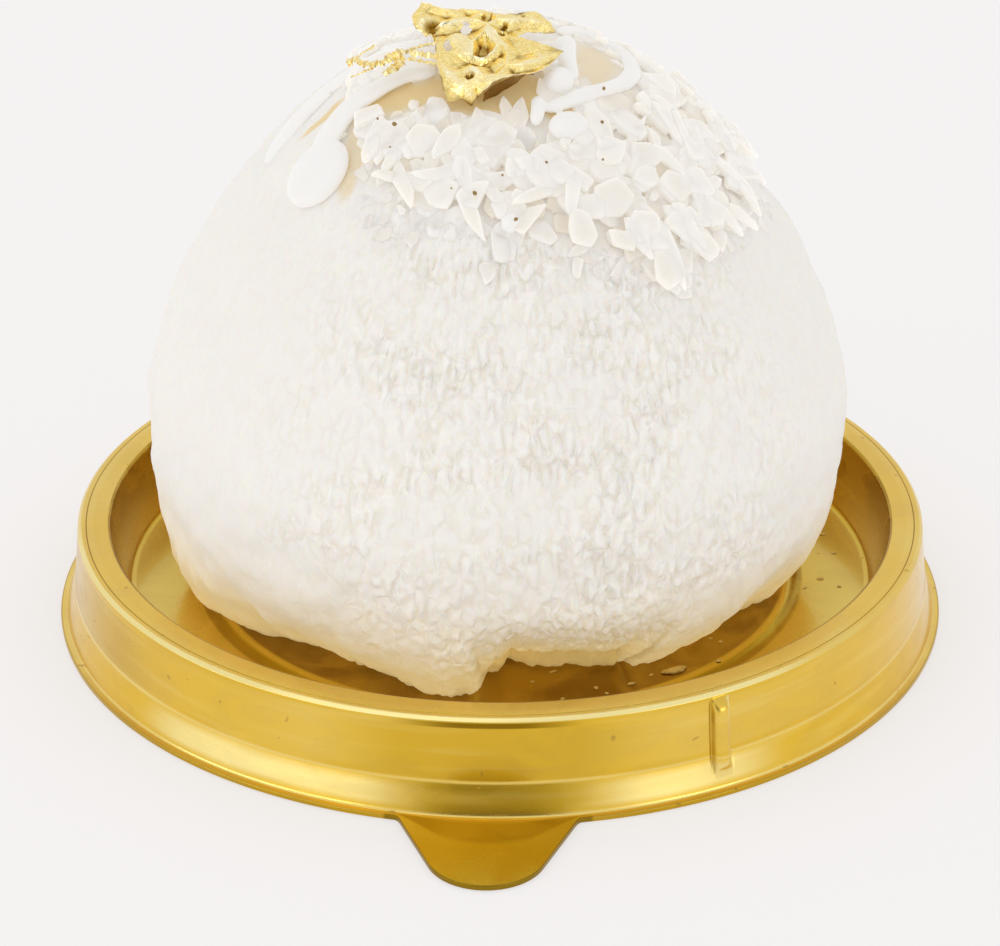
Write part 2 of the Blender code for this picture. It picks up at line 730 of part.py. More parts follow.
def make_strand():
    """The torn strand beside the leaf, a narrow band that waves over the flakes."""
    pose = leaf_pose()
    route = [pose @ Vector((u, v, crumple(u, v))) for u, v in STRAND_ROOT]
    route += [on_dome(*point)[0] for point in STRAND]
    places = smooth_path(route, 3)
    normal = (pose.to_3x3() @ Vector((0.0, 0.0, 1.0))).normalized()
    mesh_data = bmesh.new()
    rings = []
    for i, place in enumerate(places):
        ahead = places[min(i + 1, len(places) - 1)]
        behind = places[max(i - 1, 0)]
        across = (ahead - behind).cross(normal).normalized()
        half = STRAND_HALF_WIDTH * (1.0 + 0.5 * math.sin(2.1 * i))
        thick = normal * (LEAF_THICKNESS / 2)
        corners = (across * half + thick, across * half - thick)
        corners += (-across * half - thick, -across * half + thick)
        rings.append([mesh_data.verts.new(place + corner) for corner in corners])
    join_rings(mesh_data, rings)
    return mesh_object("strand", mesh_data)


def make_leaf(material):
    leaf = mesh_object("gold_leaf", make_leaf_sheet(), material)
    join_solids(leaf, [make_strand()])
    return leaf


def main():
    clear_scene()
    gold_film = finish_material("gold_film", (0.72, 0.47, 0.09), 0.3, 1.0)
    rice_skin = finish_material("rice_skin", (0.87, 0.84, 0.78), 0.6, 0.0)
    leaf_gold = finish_material("leaf_gold", (0.85, 0.58, 0.13), 0.25, 1.0)
    make_tray(gold_film)
    make_mochi(rice_skin)
    make_leaf(leaf_gold)


main()
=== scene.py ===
"""Dresses a mochi on its gold tray: skin, coconut flakes, cream drizzle, gold leaf and crumbs.

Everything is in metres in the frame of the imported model. The tray's pull tab points to -Y, which is
the front, and azimuths are in degrees from the front towards +X.
"""

import math
import random

import bmesh
import bpy
import numpy as np
from bpy.props import FloatProperty, FloatVectorProperty, IntProperty, PointerProperty
from mathutils import Matrix, Vector, geometry, noise


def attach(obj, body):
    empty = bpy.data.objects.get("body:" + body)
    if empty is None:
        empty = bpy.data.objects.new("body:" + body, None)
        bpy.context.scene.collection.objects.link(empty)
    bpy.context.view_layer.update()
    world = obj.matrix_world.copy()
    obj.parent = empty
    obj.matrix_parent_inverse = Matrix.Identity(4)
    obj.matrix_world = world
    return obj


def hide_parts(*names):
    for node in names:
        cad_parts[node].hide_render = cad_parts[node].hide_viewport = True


bl_info = {
    "name": "Mochi on a tray",
    "version": (1, 0, 0),
    "blender": (4, 5, 0),
    "location": "3D View > Sidebar > Mochi",
    "description": "Builds a topped mochi, its gold tray and a plain studio round it",
    "category": "Object",
}

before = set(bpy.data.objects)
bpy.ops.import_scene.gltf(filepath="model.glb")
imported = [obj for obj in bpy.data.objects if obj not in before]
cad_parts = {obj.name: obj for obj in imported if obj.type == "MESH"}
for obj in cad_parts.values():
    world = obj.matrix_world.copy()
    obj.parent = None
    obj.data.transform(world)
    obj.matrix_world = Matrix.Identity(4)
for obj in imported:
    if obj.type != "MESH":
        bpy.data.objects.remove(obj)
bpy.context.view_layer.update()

MM = 0.001
BODY = "root"
TRAY_AXIS = Vector((0.0, 5.1 * MM, 0.0))
SKIN_AXIS = TRAY_AXIS + Vector((-0.25 * MM, 0.0, 0.0))


def number(description, default):
    return FloatProperty(description=description, default=default)


def length(description, default):
    return FloatProperty(description=description, default=default, unit="LENGTH", precision=5)


def angle(description, degrees):
    return FloatProperty(description=description, default=math.radians(degrees), subtype="ANGLE")


def colour(description, default):
    return FloatVectorProperty(
        description=description, default=default, subtype="COLOR", min=0.0, max=1.0
    )


# --- settings ---


class StageSettings(bpy.types.PropertyGroup):
    target: FloatVectorProperty(
        description="Point that the camera looks at",
        default=(0.0, 0.0051, 0.01316),
        subtype="XYZ",
        unit="LENGTH",
        precision=5,
    )
    distance: length("Distance from the camera to its target", 0.304535)
    azimuth: angle("Camera's turn from the front towards +X", 1.4)
    elevation: angle("Camera's height above the horizon", 26.46)
    lens: number("Focal length in millimetres", 108.0)
    floor_size: length("Side of the square floor", 6.0)
    floor_tone: colour("Colour of the pale floor", (0.42, 0.411, 0.409))
    floor_glow: colour("Light of the table itself, lit from below", (0.545, 0.537, 0.538))
    ambient: number("Strength of the even light", 0.84)


class TraySettings(bpy.types.PropertyGroup):
    sheet: length("Thickness of the formed sheet", 0.5 * MM)
    flange_radius: length("Outer radius of the flat flange", 45.0 * MM)
    flare_radius: length("Radius where the flare meets the flange", 44.35 * MM)
    crease_radius: length("Radius of the crease in the skirt", 43.4 * MM)
    crease_height: length("Height of that crease", 3.6 * MM)
    skirt_radius: length("Radius of the skirt under the rim", 43.15 * MM)
    rim_height: length("Height of the rolled rim", 9.86 * MM)
    rim_inner_radius: length("Radius of the rim's inner edge", 39.4 * MM)
    wall_foot_radius: length("Radius where wall meets floor", 37.9 * MM)
    floor_height: length("Height of the outer ring of the floor", 2.5 * MM)
    step_radius: length("Radius at the foot of the step", 30.9 * MM)
    disc_radius: length("Radius of the raised disc", 29.6 * MM)
    disc_height: length("Height of the raised disc", 3.0 * MM)
    tab_reach: length("How far the pull tab stands out of the flange", 10.2 * MM)
    tab_half_width: length("Half the tab's width at its root", 8.2 * MM)
    tab_end_radius: length("Radius of the tab's round end", 5.5 * MM)
    bead_azimuth: number("Place of the bead on the skirt, in degrees", 29.2)
    bead_half_width: length("Half the width of that bead", 0.95 * MM)
    bead_relief: length("How far the bead stands out", 0.75 * MM)
    gold: colour("Colour of the metal film", (0.81, 0.508, 0.028))
    # Painted reflection tint: a less red film colour on the tab and on the floor ring, which stands
    # in for the hue of what they mirror.
    reflection_tint_gold: colour("Colour of the film on the tab", (0.7, 0.525, 0.055))
    # The colour of the painted highlights and reflections on the film.
    highlight_gold: colour("Colour of the film where it is thin", (1.0, 0.86, 0.37))
    # The colour of the painted shade on the film: under the food, on the wall, along the rim's inner
    # edge and on the tab.
    shade_gold: colour("Colour of the film under the food", (0.34, 0.185, 0.006))


class SkinSettings(bpy.types.PropertyGroup):
    radius: length("Widest radius of the mochi", 34.7 * MM)
    waist: length("Height of the widest place", 22.8 * MM)
    dome_rise: length("Height of the dome above the waist", 37.0 * MM)
    foot_depth: length("Depth of the curve that the foot follows", 27.2 * MM)
    base: length("Height of the underside", 3.05 * MM)
    hem_reach: length("Height up to which the hem is drawn in", 12.0 * MM)
    wrinkle: length("Depth of the fine wrinkles", 0.16 * MM)
    wrinkle_pitch: length("Spacing of the fine wrinkles", 0.95 * MM)
    rice: colour("Colour of the starched skin", (0.95, 0.915, 0.87))
    # The cream also paints the shade down in the folds.
    cream: colour("Colour of the thin, damp dough", (0.88, 0.735, 0.4))
    thin: colour("Colour of the thin layer under the torn skin", (0.76, 0.60, 0.27))
    # The bare dough's tan also paints the shade under the drizzle and the leaf and between the
    # flakes.
    syrup: colour("Colour of the bare dough on the crown", (0.80, 0.62, 0.33))


class ToppingSettings(bpy.types.PropertyGroup):
    flakes: IntProperty(description="Number of coconut flakes", default=780)
    coconut: colour("Colour of the coconut flakes", (0.62, 0.61, 0.595))
    drizzle: colour("Colour of the cream drizzle", (0.82, 0.812, 0.80))
    speck: colour("Colour of the brown specks", (0.24, 0.13, 0.03))
    crumb: colour("Colour of the crumbs in the tray", (0.74, 0.54, 0.16))


class LeafSettings(bpy.types.PropertyGroup):
    slope: angle("Slope of the leaf on the crown", 27.0)
    thickness: length("Thickness of the leaf", 0.05 * MM)
    crumple: length("Depth of the finest folds", 0.1 * MM)
    gold: colour("Colour of the gold leaf", (1.0, 0.84, 0.38))


# --- materials ---


def joining(operation, swapped=False):
    """A method that joins a signal and another value in a Math node."""

    def method(self, other):
        first, second = (other, self) if swapped else (self, other)
        return self.finish.node("Math", {"operation": operation}, {0: first, 1: second})

    return method


class Signal:
    """An output of a shader node that takes part in Python expressions."""

    def __init__(self, finish, socket):
        self.finish = finish
        self.socket = socket

    __add__, __radd__ = joining("ADD"), joining("ADD", swapped=True)
    __sub__, __rsub__ = joining("SUBTRACT"), joining("SUBTRACT", swapped=True)
    __mul__, __rmul__ = joining("MULTIPLY"), joining("MULTIPLY", swapped=True)


class Finish:
    """A material whose nodes are written as Python expressions."""

    def __init__(self, name):
        self.material = bpy.data.materials.new(name)
        self.material.use_nodes = True
        self.tree = self.material.node_tree
        self.shader = self.tree.nodes["Principled BSDF"]

    def node(self, kind, settings=None, values=None, output=0):
        """Adds a node, sets it, feeds its sockets, and returns one of its outputs."""
        made = self.tree.nodes.new("ShaderNode" + kind)
        for name, value in (settings or {}).items():
            setattr(made, name, value)
        for name, value in (values or {}).items():
            self.feed(made.inputs[name], value)
        return Signal(self, made.outputs[output])

    def feed(self, socket, value):
        if isinstance(value, Signal):
            self.tree.links.new(value.socket, socket)
        elif socket.type == "RGBA":
            socket.default_value = (*value, 1.0)
        else:
            socket.default_value = value

    def surface(self, **values):
        """Feeds the sockets of the Principled shader, named with _ for each space."""
        for name, value in values.items():
            self.feed(self.shader.inputs[name.replace("_", " ")], value)
        return self.material

    def vector(self, operation, first, second, socket=1):
        """Joins two vectors, or a vector and the number that goes into a named socket."""
        return self.node("VectorMath", {"operation": operation}, {0: first, socket: second})

    def place(self, stretch):
        """The object's own coordinates in millimetres, stretched along its axes."""
        spot = self.node("TexCoord", output="Object")
        return self.vector("MULTIPLY", spot, tuple(side / MM for side in stretch))

    def noise(self, pitch, detail=2.0, stretch=(1.0, 1.0, 1.0), output="Fac", warp=0.0):
        """Soft noise whose lumps are about one pitch apart, in millimetres."""
        values = {"Scale": 1.0 / pitch, "Detail": detail, "Distortion": warp}
        return self.node("TexNoise", None, {"Vector": self.place(stretch), **values}, output)

    def cells(self, pitch, stretch, shake):
        """Distance from the edges between uneven, shaken cells, which is 0 on an edge."""
        push = self.noise(pitch * 1.6, 1.0, output="Color")
        push = self.vector("SUBTRACT", push, (0.5, 0.5, 0.5))
        push = self.vector("SCALE", push, shake, "Scale")
        values = {"Vector": self.vector("ADD", self.place(stretch), push), "Scale": 1.0 / pitch}
        return self.node("TexVoronoi", {"feature": "DISTANCE_TO_EDGE"}, values, "Distance")

    def fade(self, signal, low, high, start=0.0, end=1.0):
        """A smooth step of a value from low to high."""
        values = {"Value": signal, "From Min": low, "From Max": high}
        values.update({"To Min": start, "To Max": end})
        return self.node("MapRange", {"interpolation_type": "SMOOTHSTEP"}, values)

    def mix(self, factor, first, second):
        """A colour between two others."""
        return self.node("Mix", {"data_type": "RGBA"}, {0: factor, 6: first, 7: second}, 2)

    def painted(self, name):
        """A value that the mesh carries on its points."""
        return self.node("Attribute", {"attribute_name": name}, output="Fac")

    def bump(self, height, depth, strength):
        return self.node("Bump", None, {"Height": height, "Distance": depth, "Strength": strength})


def gold_film(settings):
    """Metallised plastic: bright, drawn out round the tray, with painted shade under the food and in
    its grooves, and painted highlights along its shoulder, crease and flare.
    """
    finish = Finish("gold_film")
    # Painted shade: under the food, on the wall, at the rim's inner edge and on the tab.
    film_shade = finish.painted("film_shade")
    waves = finish.noise(9.0, 1.0)
    grain = finish.noise(0.5, 2.0)
    flaws = finish.fade(finish.noise(0.9, 0.0), 0.83, 0.85) * (1 - finish.painted("tab"))
    streaks = finish.noise(1.5, 2.0, (0.08, 0.08, 1.0))
    clouds = finish.fade(finish.noise(7.0, 2.0, (1.0, 1.0, 2.0), warp=0.8), 0.42, 0.6)
    height = waves * 0.9 + grain * 0.03 + flaws * 0.35 + streaks * 0.3
    base = finish.mix(clouds * 0.25, settings.gold, (0.66, 0.43, 0.05))
    base = finish.mix(finish.fade(streaks, 0.5, 0.7) * 0.3, base, (0.9, 0.66, 0.15))
    # Painted highlight and reflection, a little streaked.
    base = finish.mix(finish.painted("pale") * (0.6 + streaks * 0.8), base, settings.highlight_gold)
    base = finish.mix(finish.painted("tab"), base, settings.reflection_tint_gold)
    base = finish.mix(film_shade * (1 - clouds * 0.3), base, settings.shade_gold)
    # Painted shade and dark reflection: near black brown in the groove, on the cut edge and on the
    # front of the skirt.
    base = finish.mix(finish.painted("edge"), base, (0.2, 0.1, 0.003))
    return finish.surface(
        Base_Color=finish.mix(flaws * 0.35, base, (0.36, 0.22, 0.05)),
        Metallic=1.0,
        Roughness=0.22 + clouds * 0.06 + flaws * 0.3,
        Normal=finish.bump(height, 0.06 * MM, 0.55),
        Coat_Weight=finish.fade(film_shade + finish.painted("edge"), 0.0, 0.6, 0.45, 0.0),
        Coat_Roughness=0.06,
    )


def rice_skin(settings):
    """Starched rice dough: powdery white, creamier where it is thin or damp, with painted shade in
    its folds, wrinkles and cuts, and a painted glow low down, on the front and under the torn skin.
    """
    finish = Finish("rice_skin")
    damp = finish.painted("damp") * finish.fade(finish.noise(1.3, 3.0), 0.3, 0.6, 0.65, 1.25)
    bare = finish.painted("bare")
    rough = finish.painted("rough")
    mottle = finish.noise(5.5, 3.0)
    powder = finish.noise(0.3, 2.0)
    cells = finish.cells(1.2, (1.0, 1.0, 0.42), 1.3)
    broken = finish.fade(finish.noise(1.7, 1.0), 0.4, 0.58)
    cuts = finish.fade(cells, 0.015, 0.14, 1.0, 0.0) * broken * rough
    pillows = finish.fade(cells, 0.0, 0.34) * rough
    base = finish.mix(finish.fade(mottle, 0.35, 0.72) * 0.35, settings.rice, (0.94, 0.90, 0.845))
    # Painted shade in the wrinkles' valleys and along the cut lines.
    shade = finish.painted("valley_shade") * 0.12 + cuts * (0.36 + damp * 0.3)
    base = finish.mix(shade, base, (0.73, 0.68, 0.53))
    base = finish.mix(damp, base, settings.cream)
    # Painted shade along the folds' steep sides and under the curled lip.
    base = finish.mix(finish.painted("fold_shade") * 0.7, base, (0.56, 0.45, 0.2))
    thin = finish.painted("thin") * finish.fade(mottle, 0.3, 0.6, 0.75, 1.0)
    base = finish.mix(thin, base, settings.thin)
    base = finish.mix(bare, base, settings.syrup)
    height = powder * 0.2 + pillows * 1.8 - cuts * 0.5
    # Painted glow: on the front where the wrinkles are and low down on the dough, less along the
    # folds' painted shade.
    light = finish.mix(rough, (0.0, 0.0, 0.0), (0.075, 0.071, 0.064))
    light = finish.mix(finish.painted("glow"), light, (0.44, 0.36, 0.18))
    light = finish.mix(finish.painted("fold_shade") * 0.75, light, (0.14, 0.1, 0.03))
    return finish.surface(
        Base_Color=base,
        Roughness=0.72 - damp * 0.2 - bare * 0.15,
        Normal=finish.bump(height, 0.12 * MM, 0.8),
        Subsurface_Weight=0.4,
        Subsurface_Radius=(1.0, 0.72, 0.42),
        Subsurface_Scale=2.6 * MM,
        Specular_IOR_Level=0.35,
        Emission_Color=finish.mix(finish.painted("thin"), light, (0.25, 0.19, 0.07)),
        Emission_Strength=1.0,
    )


def coconut(settings):
    """Dry coconut: matt white chips, a little translucent, that differ in tone, with painted shade on
    the lower chips and a painted glow that evens out their shading.
    """
    finish = Finish("coconut")
    tone = finish.fade(finish.noise(2.2, 1.0), 0.45, 0.62)
    fibre = finish.noise(0.45, 2.0, (1.0, 1.0, 0.35))
    depth_shade = finish.painted("depth_shade")
    base = finish.mix(tone * 0.3, settings.coconut, (0.58, 0.56, 0.525))
    base = finish.mix(finish.fade(fibre, 0.35, 0.75) * 0.2, base, (0.66, 0.65, 0.635))
    return finish.surface(
        Base_Color=finish.mix(depth_shade, base, (0.58, 0.52, 0.42)),
        Roughness=0.6,
        Normal=finish.bump(fibre, 0.1 * MM, 0.2),
        Subsurface_Weight=1.0,
        Subsurface_Radius=(1.0, 0.85, 0.62),
        Subsurface_Scale=2.4 * MM,
        Specular_IOR_Level=0.3,
        Emission_Color=finish.mix(depth_shade, (0.245, 0.239, 0.229), (0.195, 0.176, 0.148)),
        Emission_Strength=1.0,
    )


def cream(settings):
    """Set cream: smooth, softly glossy and a little translucent, with a painted glow that evens out
    its shading.
    """
    finish = Finish("cream_drizzle")
    soft = finish.noise(1.8, 2.0)
    warm = finish.fade(soft, 0.4, 0.8) * 0.3
    return finish.surface(
        Base_Color=finish.mix(warm, settings.drizzle, (0.80, 0.775, 0.73)),
        Roughness=0.34 + soft * 0.1,
        Normal=finish.bump(soft, 0.08 * MM, 0.4),
        Subsurface_Weight=0.3,
        Subsurface_Radius=(1.0, 0.8, 0.6),
        Subsurface_Scale=1.0 * MM,
        Emission_Color=(0.14, 0.138, 0.132),
        Emission_Strength=1.0,
    )


def leaf_gold(settings):
    """Beaten gold leaf: mirror bright, with painted highlights along its ridges, painted shade down
    in its folds and a faint painted glow.
    """
    finish = Finish("leaf_gold")
    crinkle = finish.noise(0.35, 2.0, warp=0.5)
    glints = finish.fade(finish.noise(0.22, 2.0), 0.42, 0.58)
    base = finish.mix(glints * 0.55, settings.gold, (0.82, 0.55, 0.12))
    base = finish.mix(finish.painted("ridge_highlight"), base, (1.0, 0.95, 0.7))
    return finish.surface(
        Base_Color=finish.mix(finish.painted("hollow"), base, (0.28, 0.14, 0.01)),
        Metallic=1.0,
        Roughness=0.12 + crinkle * 0.14,
        Normal=finish.bump(crinkle, 0.12 * MM, 0.4),
        Emission_Color=finish.mix(finish.painted("hollow"), (0.07, 0.055, 0.015), (0.0, 0.0, 0.0)),
        Emission_Strength=1.0,
    )


def plain_food(name, tone, dark, pitch, roughness):
    """A small dry crumb or speck that varies between two tones."""
    finish = Finish(name)
    grain = finish.noise(pitch, 2.0)
    return finish.surface(
        Base_Color=finish.mix(finish.fade(grain, 0.35, 0.7), tone, dark),
        Roughness=roughness,
        Normal=finish.bump(grain, 0.05 * MM, 0.5),
    )


# --- mesh helpers ---


def around(azimuth, radius, height):
    """The point at an azimuth, a radius and a height."""
    turn = math.radians(azimuth)
    return Vector((radius * math.sin(turn), -radius * math.cos(turn), height))


def linked(name, data):
    """A new object of the scene."""
    item = bpy.data.objects.new(name, data)
    bpy.context.scene.collection.objects.link(item)
    return item


def applied(item):
    """A copy of the object's mesh with its modifiers applied."""
    graph = bpy.context.evaluated_depsgraph_get()
    return bpy.data.meshes.new_from_object(item.evaluated_get(graph))


def shade_softly(mesh):
    """Smooth shading on every face."""
    for polygon in mesh.polygons:
        polygon.use_smooth = True


def new_object(name, points, faces, material, fields=None):
    """A smooth-shaded mesh object with values painted on its points."""
    mesh = bpy.data.meshes.new(name)
    mesh.from_pydata([tuple(point) for point in points], [], faces)
    mesh.validate()
    shade_softly(mesh)
    for field, values in (fields or {}).items():
        attribute = mesh.attributes.new(field, "FLOAT", "POINT")
        attribute.data.foreach_set("value", np.asarray(values, np.float32))
    mesh.materials.append(material)
    return linked(name, mesh)


def grid_faces(rows, columns, first=0):
    """Quads between rows of points that each close on themselves."""
    faces = []
    for row in range(rows - 1):
        low = first + row * columns
        for column in range(columns):
            after = (column + 1) % columns
            faces.append((low + column, low + after, low + columns + after, low + columns + column))
    return faces


def fan_faces(centre, ring, flip=False):
    """Triangles from a middle point to a ring of points."""
    faces = []
    for i, point in enumerate(ring):
        after = ring[(i + 1) % len(ring)]
        faces.append((centre, after, point) if flip else (centre, point, after))
    return faces


def melted(name, points, faces, material, grain, turns):
    """Closed bodies melted into one, with its edges relaxed."""
    rough = new_object(name + "_rough", points, faces, material)
    melt = rough.modifiers.new("melt", "REMESH")
    melt.mode, melt.voxel_size = "VOXEL", grain
    relax = rough.modifiers.new("relax", "SMOOTH")
    relax.factor, relax.iterations = 0.6, turns
    mesh = applied(rough)
    bpy.data.objects.remove(rough, do_unlink=True)
    shade_softly(mesh)
    mesh.name = name
    return linked(name, mesh)


def dress(item, node):
    """The piece moves with the part and stands for a CAD node, which is hidden."""
    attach(item, BODY)
    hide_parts(node)
    return item


def smooth_path(points, steps):
    """Points on a Catmull-Rom curve through the given ones."""
    ends = [points[0] * 2 - points[1], *points, points[-1] * 2 - points[-2]]
    path = []
    for before, start, end, after in zip(ends, ends[1:], ends[2:], ends[3:]):
        for t in (i / steps for i in range(steps)):
            straight = 2 * start + (end - before) * t
            bent = (2 * before - 5 * start + 4 * end - after) * t**2
            path.append(0.5 * (straight + bent + (3 * start - before - 3 * end + after) * t**3))
    return [*path, points[-1]]


def bell(value, width, power=2):
    """1 at 0, falling off to both sides over a width."""
    return np.exp(-((value / width) ** power))


def step(value, low, high):
    """0 below a low value and 1 above a high one, with a smooth rise between them."""
    part = np.clip((value - low) / (high - low), 0.0, 1.0)
    return part * part * (3 - 2 * part)


def fallen(value, low, high):
    """1 below a low value and 0 above a high one."""
    return 1 - step(value, low, high)


def side_gap(azimuth, centre):
    """Signed turn from a centre to an azimuth."""
    return (azimuth - centre + 180.0) % 360.0 - 180.0


def from_front(azimuth):
    """How far an azimuth is from the front, on either side."""
    return abs(side_gap(azimuth, 0.0))


def read_table(azimuth, table):
    """A value read between the listed azimuths, which run from -90 to 270 degrees."""
    turned = (np.asarray(azimuth) + 90.0) % 360.0 - 90.0
    return np.interp(turned, *zip(*table))


def heights(*rows):
    """A table of heights in mm by azimuth, in metres."""
    return [(azimuth, height * MM) for azimuth, height in rows]


# --- tray ---

BEAD_LOW = 2.2 * MM
BEAD_HIGH = 9.25 * MM
HOLD = 0.12 * MM
FINE_STEP = 0.55 * MM
FLANGE_PIECES = 12
CURVE_STEPS = 5
TAB_HALF_TURN = 12.0
TAB_REGION = math.radians(20.0)
TAB_RIDGE = 47.55 * MM

# Radii on the rim: the end of its round top, the groove in it, its shoulder and the skirt.
RIM_TOP = 41.2 * MM
GROOVE = (41.87 * MM, 41.99 * MM)
SHOULDER = 42.42 * MM
SKIRT = 42.6 * MM
SKIRT_FACE = 42.7 * MM
FLARE_FACE = 43.45 * MM

# Where the floor between the step and the wall gets painted shade at the front and a painted
# reflection at the back, in mm.
SHADED_RING = (31.1, 37.6)
LIT_RING = (31.3, 37.4)


def rounded(corners):
    """Points along (radius, height, rounding) corners, each rounded off and held at its ends."""
    path = [Vector(corner[:2]) for corner in corners]
    points = [path[0]]
    for i in range(1, len(corners) - 1):
        back = path[i - 1] - path[i]
        ahead = path[i + 1] - path[i]
        start = path[i] + back.normalized() * min(corners[i][2], back.length * 0.48)
        end = path[i] + ahead.normalized() * min(corners[i][2], ahead.length * 0.48)
        if (start - points[-1]).length > 3 * HOLD:
            points.append(start + back.normalized() * HOLD)
        for t in (k / CURVE_STEPS for k in range(CURVE_STEPS + 1)):
            points.append(start * (1 - t) ** 2 + path[i] * 2 * t * (1 - t) + end * t**2)
        if ahead.length > 6 * HOLD:
            points.append(end + ahead.normalized() * HOLD)
    points.append(path[-1])
    apart = [(after - before).length > 1e-7 for before, after in zip(points, points[1:])]
    return [spot for spot, kept in zip(points, [True, *apart]) if kept]


def divided(points, low, high):
    """The path with its long spans between two radii cut into short ones."""
    path = [points[0]]
    for point in points[1:]:
        start = path[-1]
        span = (point - start).length
        level = point.y == start.y > 0.3 * MM
        on_flange = level and point.x > low + 1.3 * MM and span > 0.25 * MM
        if low < point.x < high and (on_flange or span > FINE_STEP):
            pieces = FLANGE_PIECES if on_flange else math.ceil(span / FINE_STEP)
            path += [start.lerp(point, i / pieces) for i in range(1, pieces)]
        path.append(point)
    return path


def corners(*rows):
    """Corners from a radius, mm added to it, a height, mm added to it, and rounding in mm."""
    return [
        (radius + out * MM, height + up * MM, rounding * MM)
        for radius, out, height, up, rounding in rows
    ]


def tray_path(tray):
    """The sheet's upper face from the middle outwards, and its lower face back again."""
    disc, floor, top, sheet = tray.disc_height, tray.floor_height, tray.rim_height, tray.sheet
    flange, flare, crease = tray.flange_radius, tray.flare_radius, tray.crease_radius
    upper = corners(
        (0, 0, disc, 0, 0),
        (tray.disc_radius, 0, disc, 0, 0.5),
        (tray.step_radius, -0.35, floor, 0, 0.45),
        (tray.wall_foot_radius, 0, floor, 0, 0.6),
        (tray.rim_inner_radius, 0.1, top, -0.06, 0.3),
        (RIM_TOP, 0, top, 0, 0.4),
        (0, 41.85, top, -0.02, 0.03),
        (0, 41.93, top, -0.1, 0.02),
        (0, 42.01, top, -0.02, 0.03),
        (0, 42.5, top, -0.04, 0.05),
        (0, 42.79, top, -0.31, 0.05),
        (0, 42.81, top, -0.46, 0),
        (0, 42.85, top, -0.86, 0),
        (crease, 0, tray.crease_height, 0, 0.22),
        (flare, 0, sheet, 0, 0.3),
        (flare, 0.2, sheet, 0, 0),
        (flange, -0.2, sheet, 0, 0),
        (flange, 0, sheet, 0, 0.14),
        (flange, 0, 0, 0, 0.12),
        (flange, -0.4, 0, 0, 0),
    )
    lower = corners(
        (flange, -0.4, 0, 0, 0),
        (flare - sheet, 0, 0, 0, 0.2),
        (crease - sheet, 0, tray.crease_height, 0, 0.2),
        (tray.skirt_radius - sheet, 0, top - sheet, 0, 0.3),
        (tray.rim_inner_radius, 0.6, top - sheet, 0, 0.3),
        (tray.wall_foot_radius, 0.5, floor - sheet, 0, 0.3),
        (tray.step_radius, 0, floor - sheet, 0, 0.3),
        (tray.disc_radius, 0, disc - sheet, 0, 0.3),
        (0, 0, disc - sheet, 0, 0),
    )
    return divided(rounded(upper), tray.skirt_radius - 0.1 * MM, flange + MM) + rounded(lower)[1:]


def tab_edge(tray, azimuth):
    """Radius of the flange's edge at an azimuth, with the pull tab at the front."""
    centre = tray.flange_radius + tray.tab_reach - tray.tab_end_radius
    root = Vector(
        (tray.tab_half_width, math.sqrt(tray.flange_radius**2 - tray.tab_half_width**2))
    )
    gap = root - Vector((0.0, centre))
    tangent = math.atan2(gap.x, gap.y) - math.acos(tray.tab_end_radius / gap.length)
    touch = Vector((math.sin(tangent), math.cos(tangent))) * tray.tab_end_radius
    touch.y += centre
    turn = math.radians(from_front(azimuth))
    if turn > TAB_REGION:
        return tray.flange_radius
    if turn < math.atan2(touch.x, touch.y):
        across = centre * math.sin(turn)
        return centre * math.cos(turn) + math.sqrt(tray.tab_end_radius**2 - across**2)
    along = touch - root
    ray = Vector((math.sin(turn), math.cos(turn)))
    flank = (root.x * along.y - root.y * along.x) / (ray.x * along.y - ray.y * along.x)
    soft = 0.5 * MM
    mixed = max(0.0, soft - abs(flank - tray.flange_radius)) ** 2 / (4 * soft)
    return max(flank, tray.flange_radius) + mixed


def tray_azimuths():
    """Columns of the tray: close together at the tab and at the bead."""
    columns = []
    for low, high, pitch in TRAY_SPANS:
        count = round((high - low) / pitch)
        columns += [low + (high - low) * i / count for i in range(count)]
    return columns


def bead_across(tray, azimuth):
    """How far an azimuth is from the bead's middle, in half widths."""
    return math.radians(azimuth - tray.bead_azimuth) * tray.skirt_radius / tray.bead_half_width


def bead_out(tray, azimuth, height):
    """How far the bead lifts the skirt."""
    across = abs(bead_across(tray, azimuth))
    along = abs(2 * (height - BEAD_LOW) / (BEAD_HIGH - BEAD_LOW) - 1)
    if across >= 1.25 or along >= 1.0:
        return 0.0
    end = 1 - along**9
    body = max(0.0, 1 - across**2.6) if across < 1 else 0.0
    return tray.bead_relief * end * (body**0.7 - 0.12 * bell(across - 1.08, 0.12))


def tray_spot(tray, azimuth, radius, height, flat):
    """Where a point of the profile goes: the tab, the bead and a slight unevenness move it."""
    if radius > flat[0]:
        reach = tab_edge(tray, azimuth) - tray.flange_radius
        radius += reach * min(1.0, (radius - flat[0]) / (flat[1] - flat[0]))
        height += 0.035 * MM * bell(radius - TAB_RIDGE, 0.25 * MM) * (height > 0.3 * MM)
    elif height > BEAD_LOW and radius > tray.skirt_radius - 0.45 * MM:
        radius += bead_out(tray, azimuth, height)
    spot = around(azimuth, radius, height)
    if height > 2 * MM and radius > tray.disc_radius:
        wave = noise.noise(Vector((spot.x, spot.y, spot.z * 0.5)) / (17 * MM))
        spot *= 1 + 0.0011 * wave
    return spot


# Spans of azimuth with their column pitch in degrees.
TRAY_SPANS = ((-13, 13, 0.36), (13, 26, 1.1), (26, 32.4, 0.13), (32.4, 347, 1.15))

# How much painted shade darkens the film by radius in mm: on the disc, the step, the floor and the
# wall.
FILM_SHADE = (
    (29, 1), (29.3, 0.1), (29.75, 0.1), (29.95, 0.8), (30.9, 0.8), (31.2, 0), (37.4, 0),
    (38.1, 0.58), (39.2, 0.66),
)

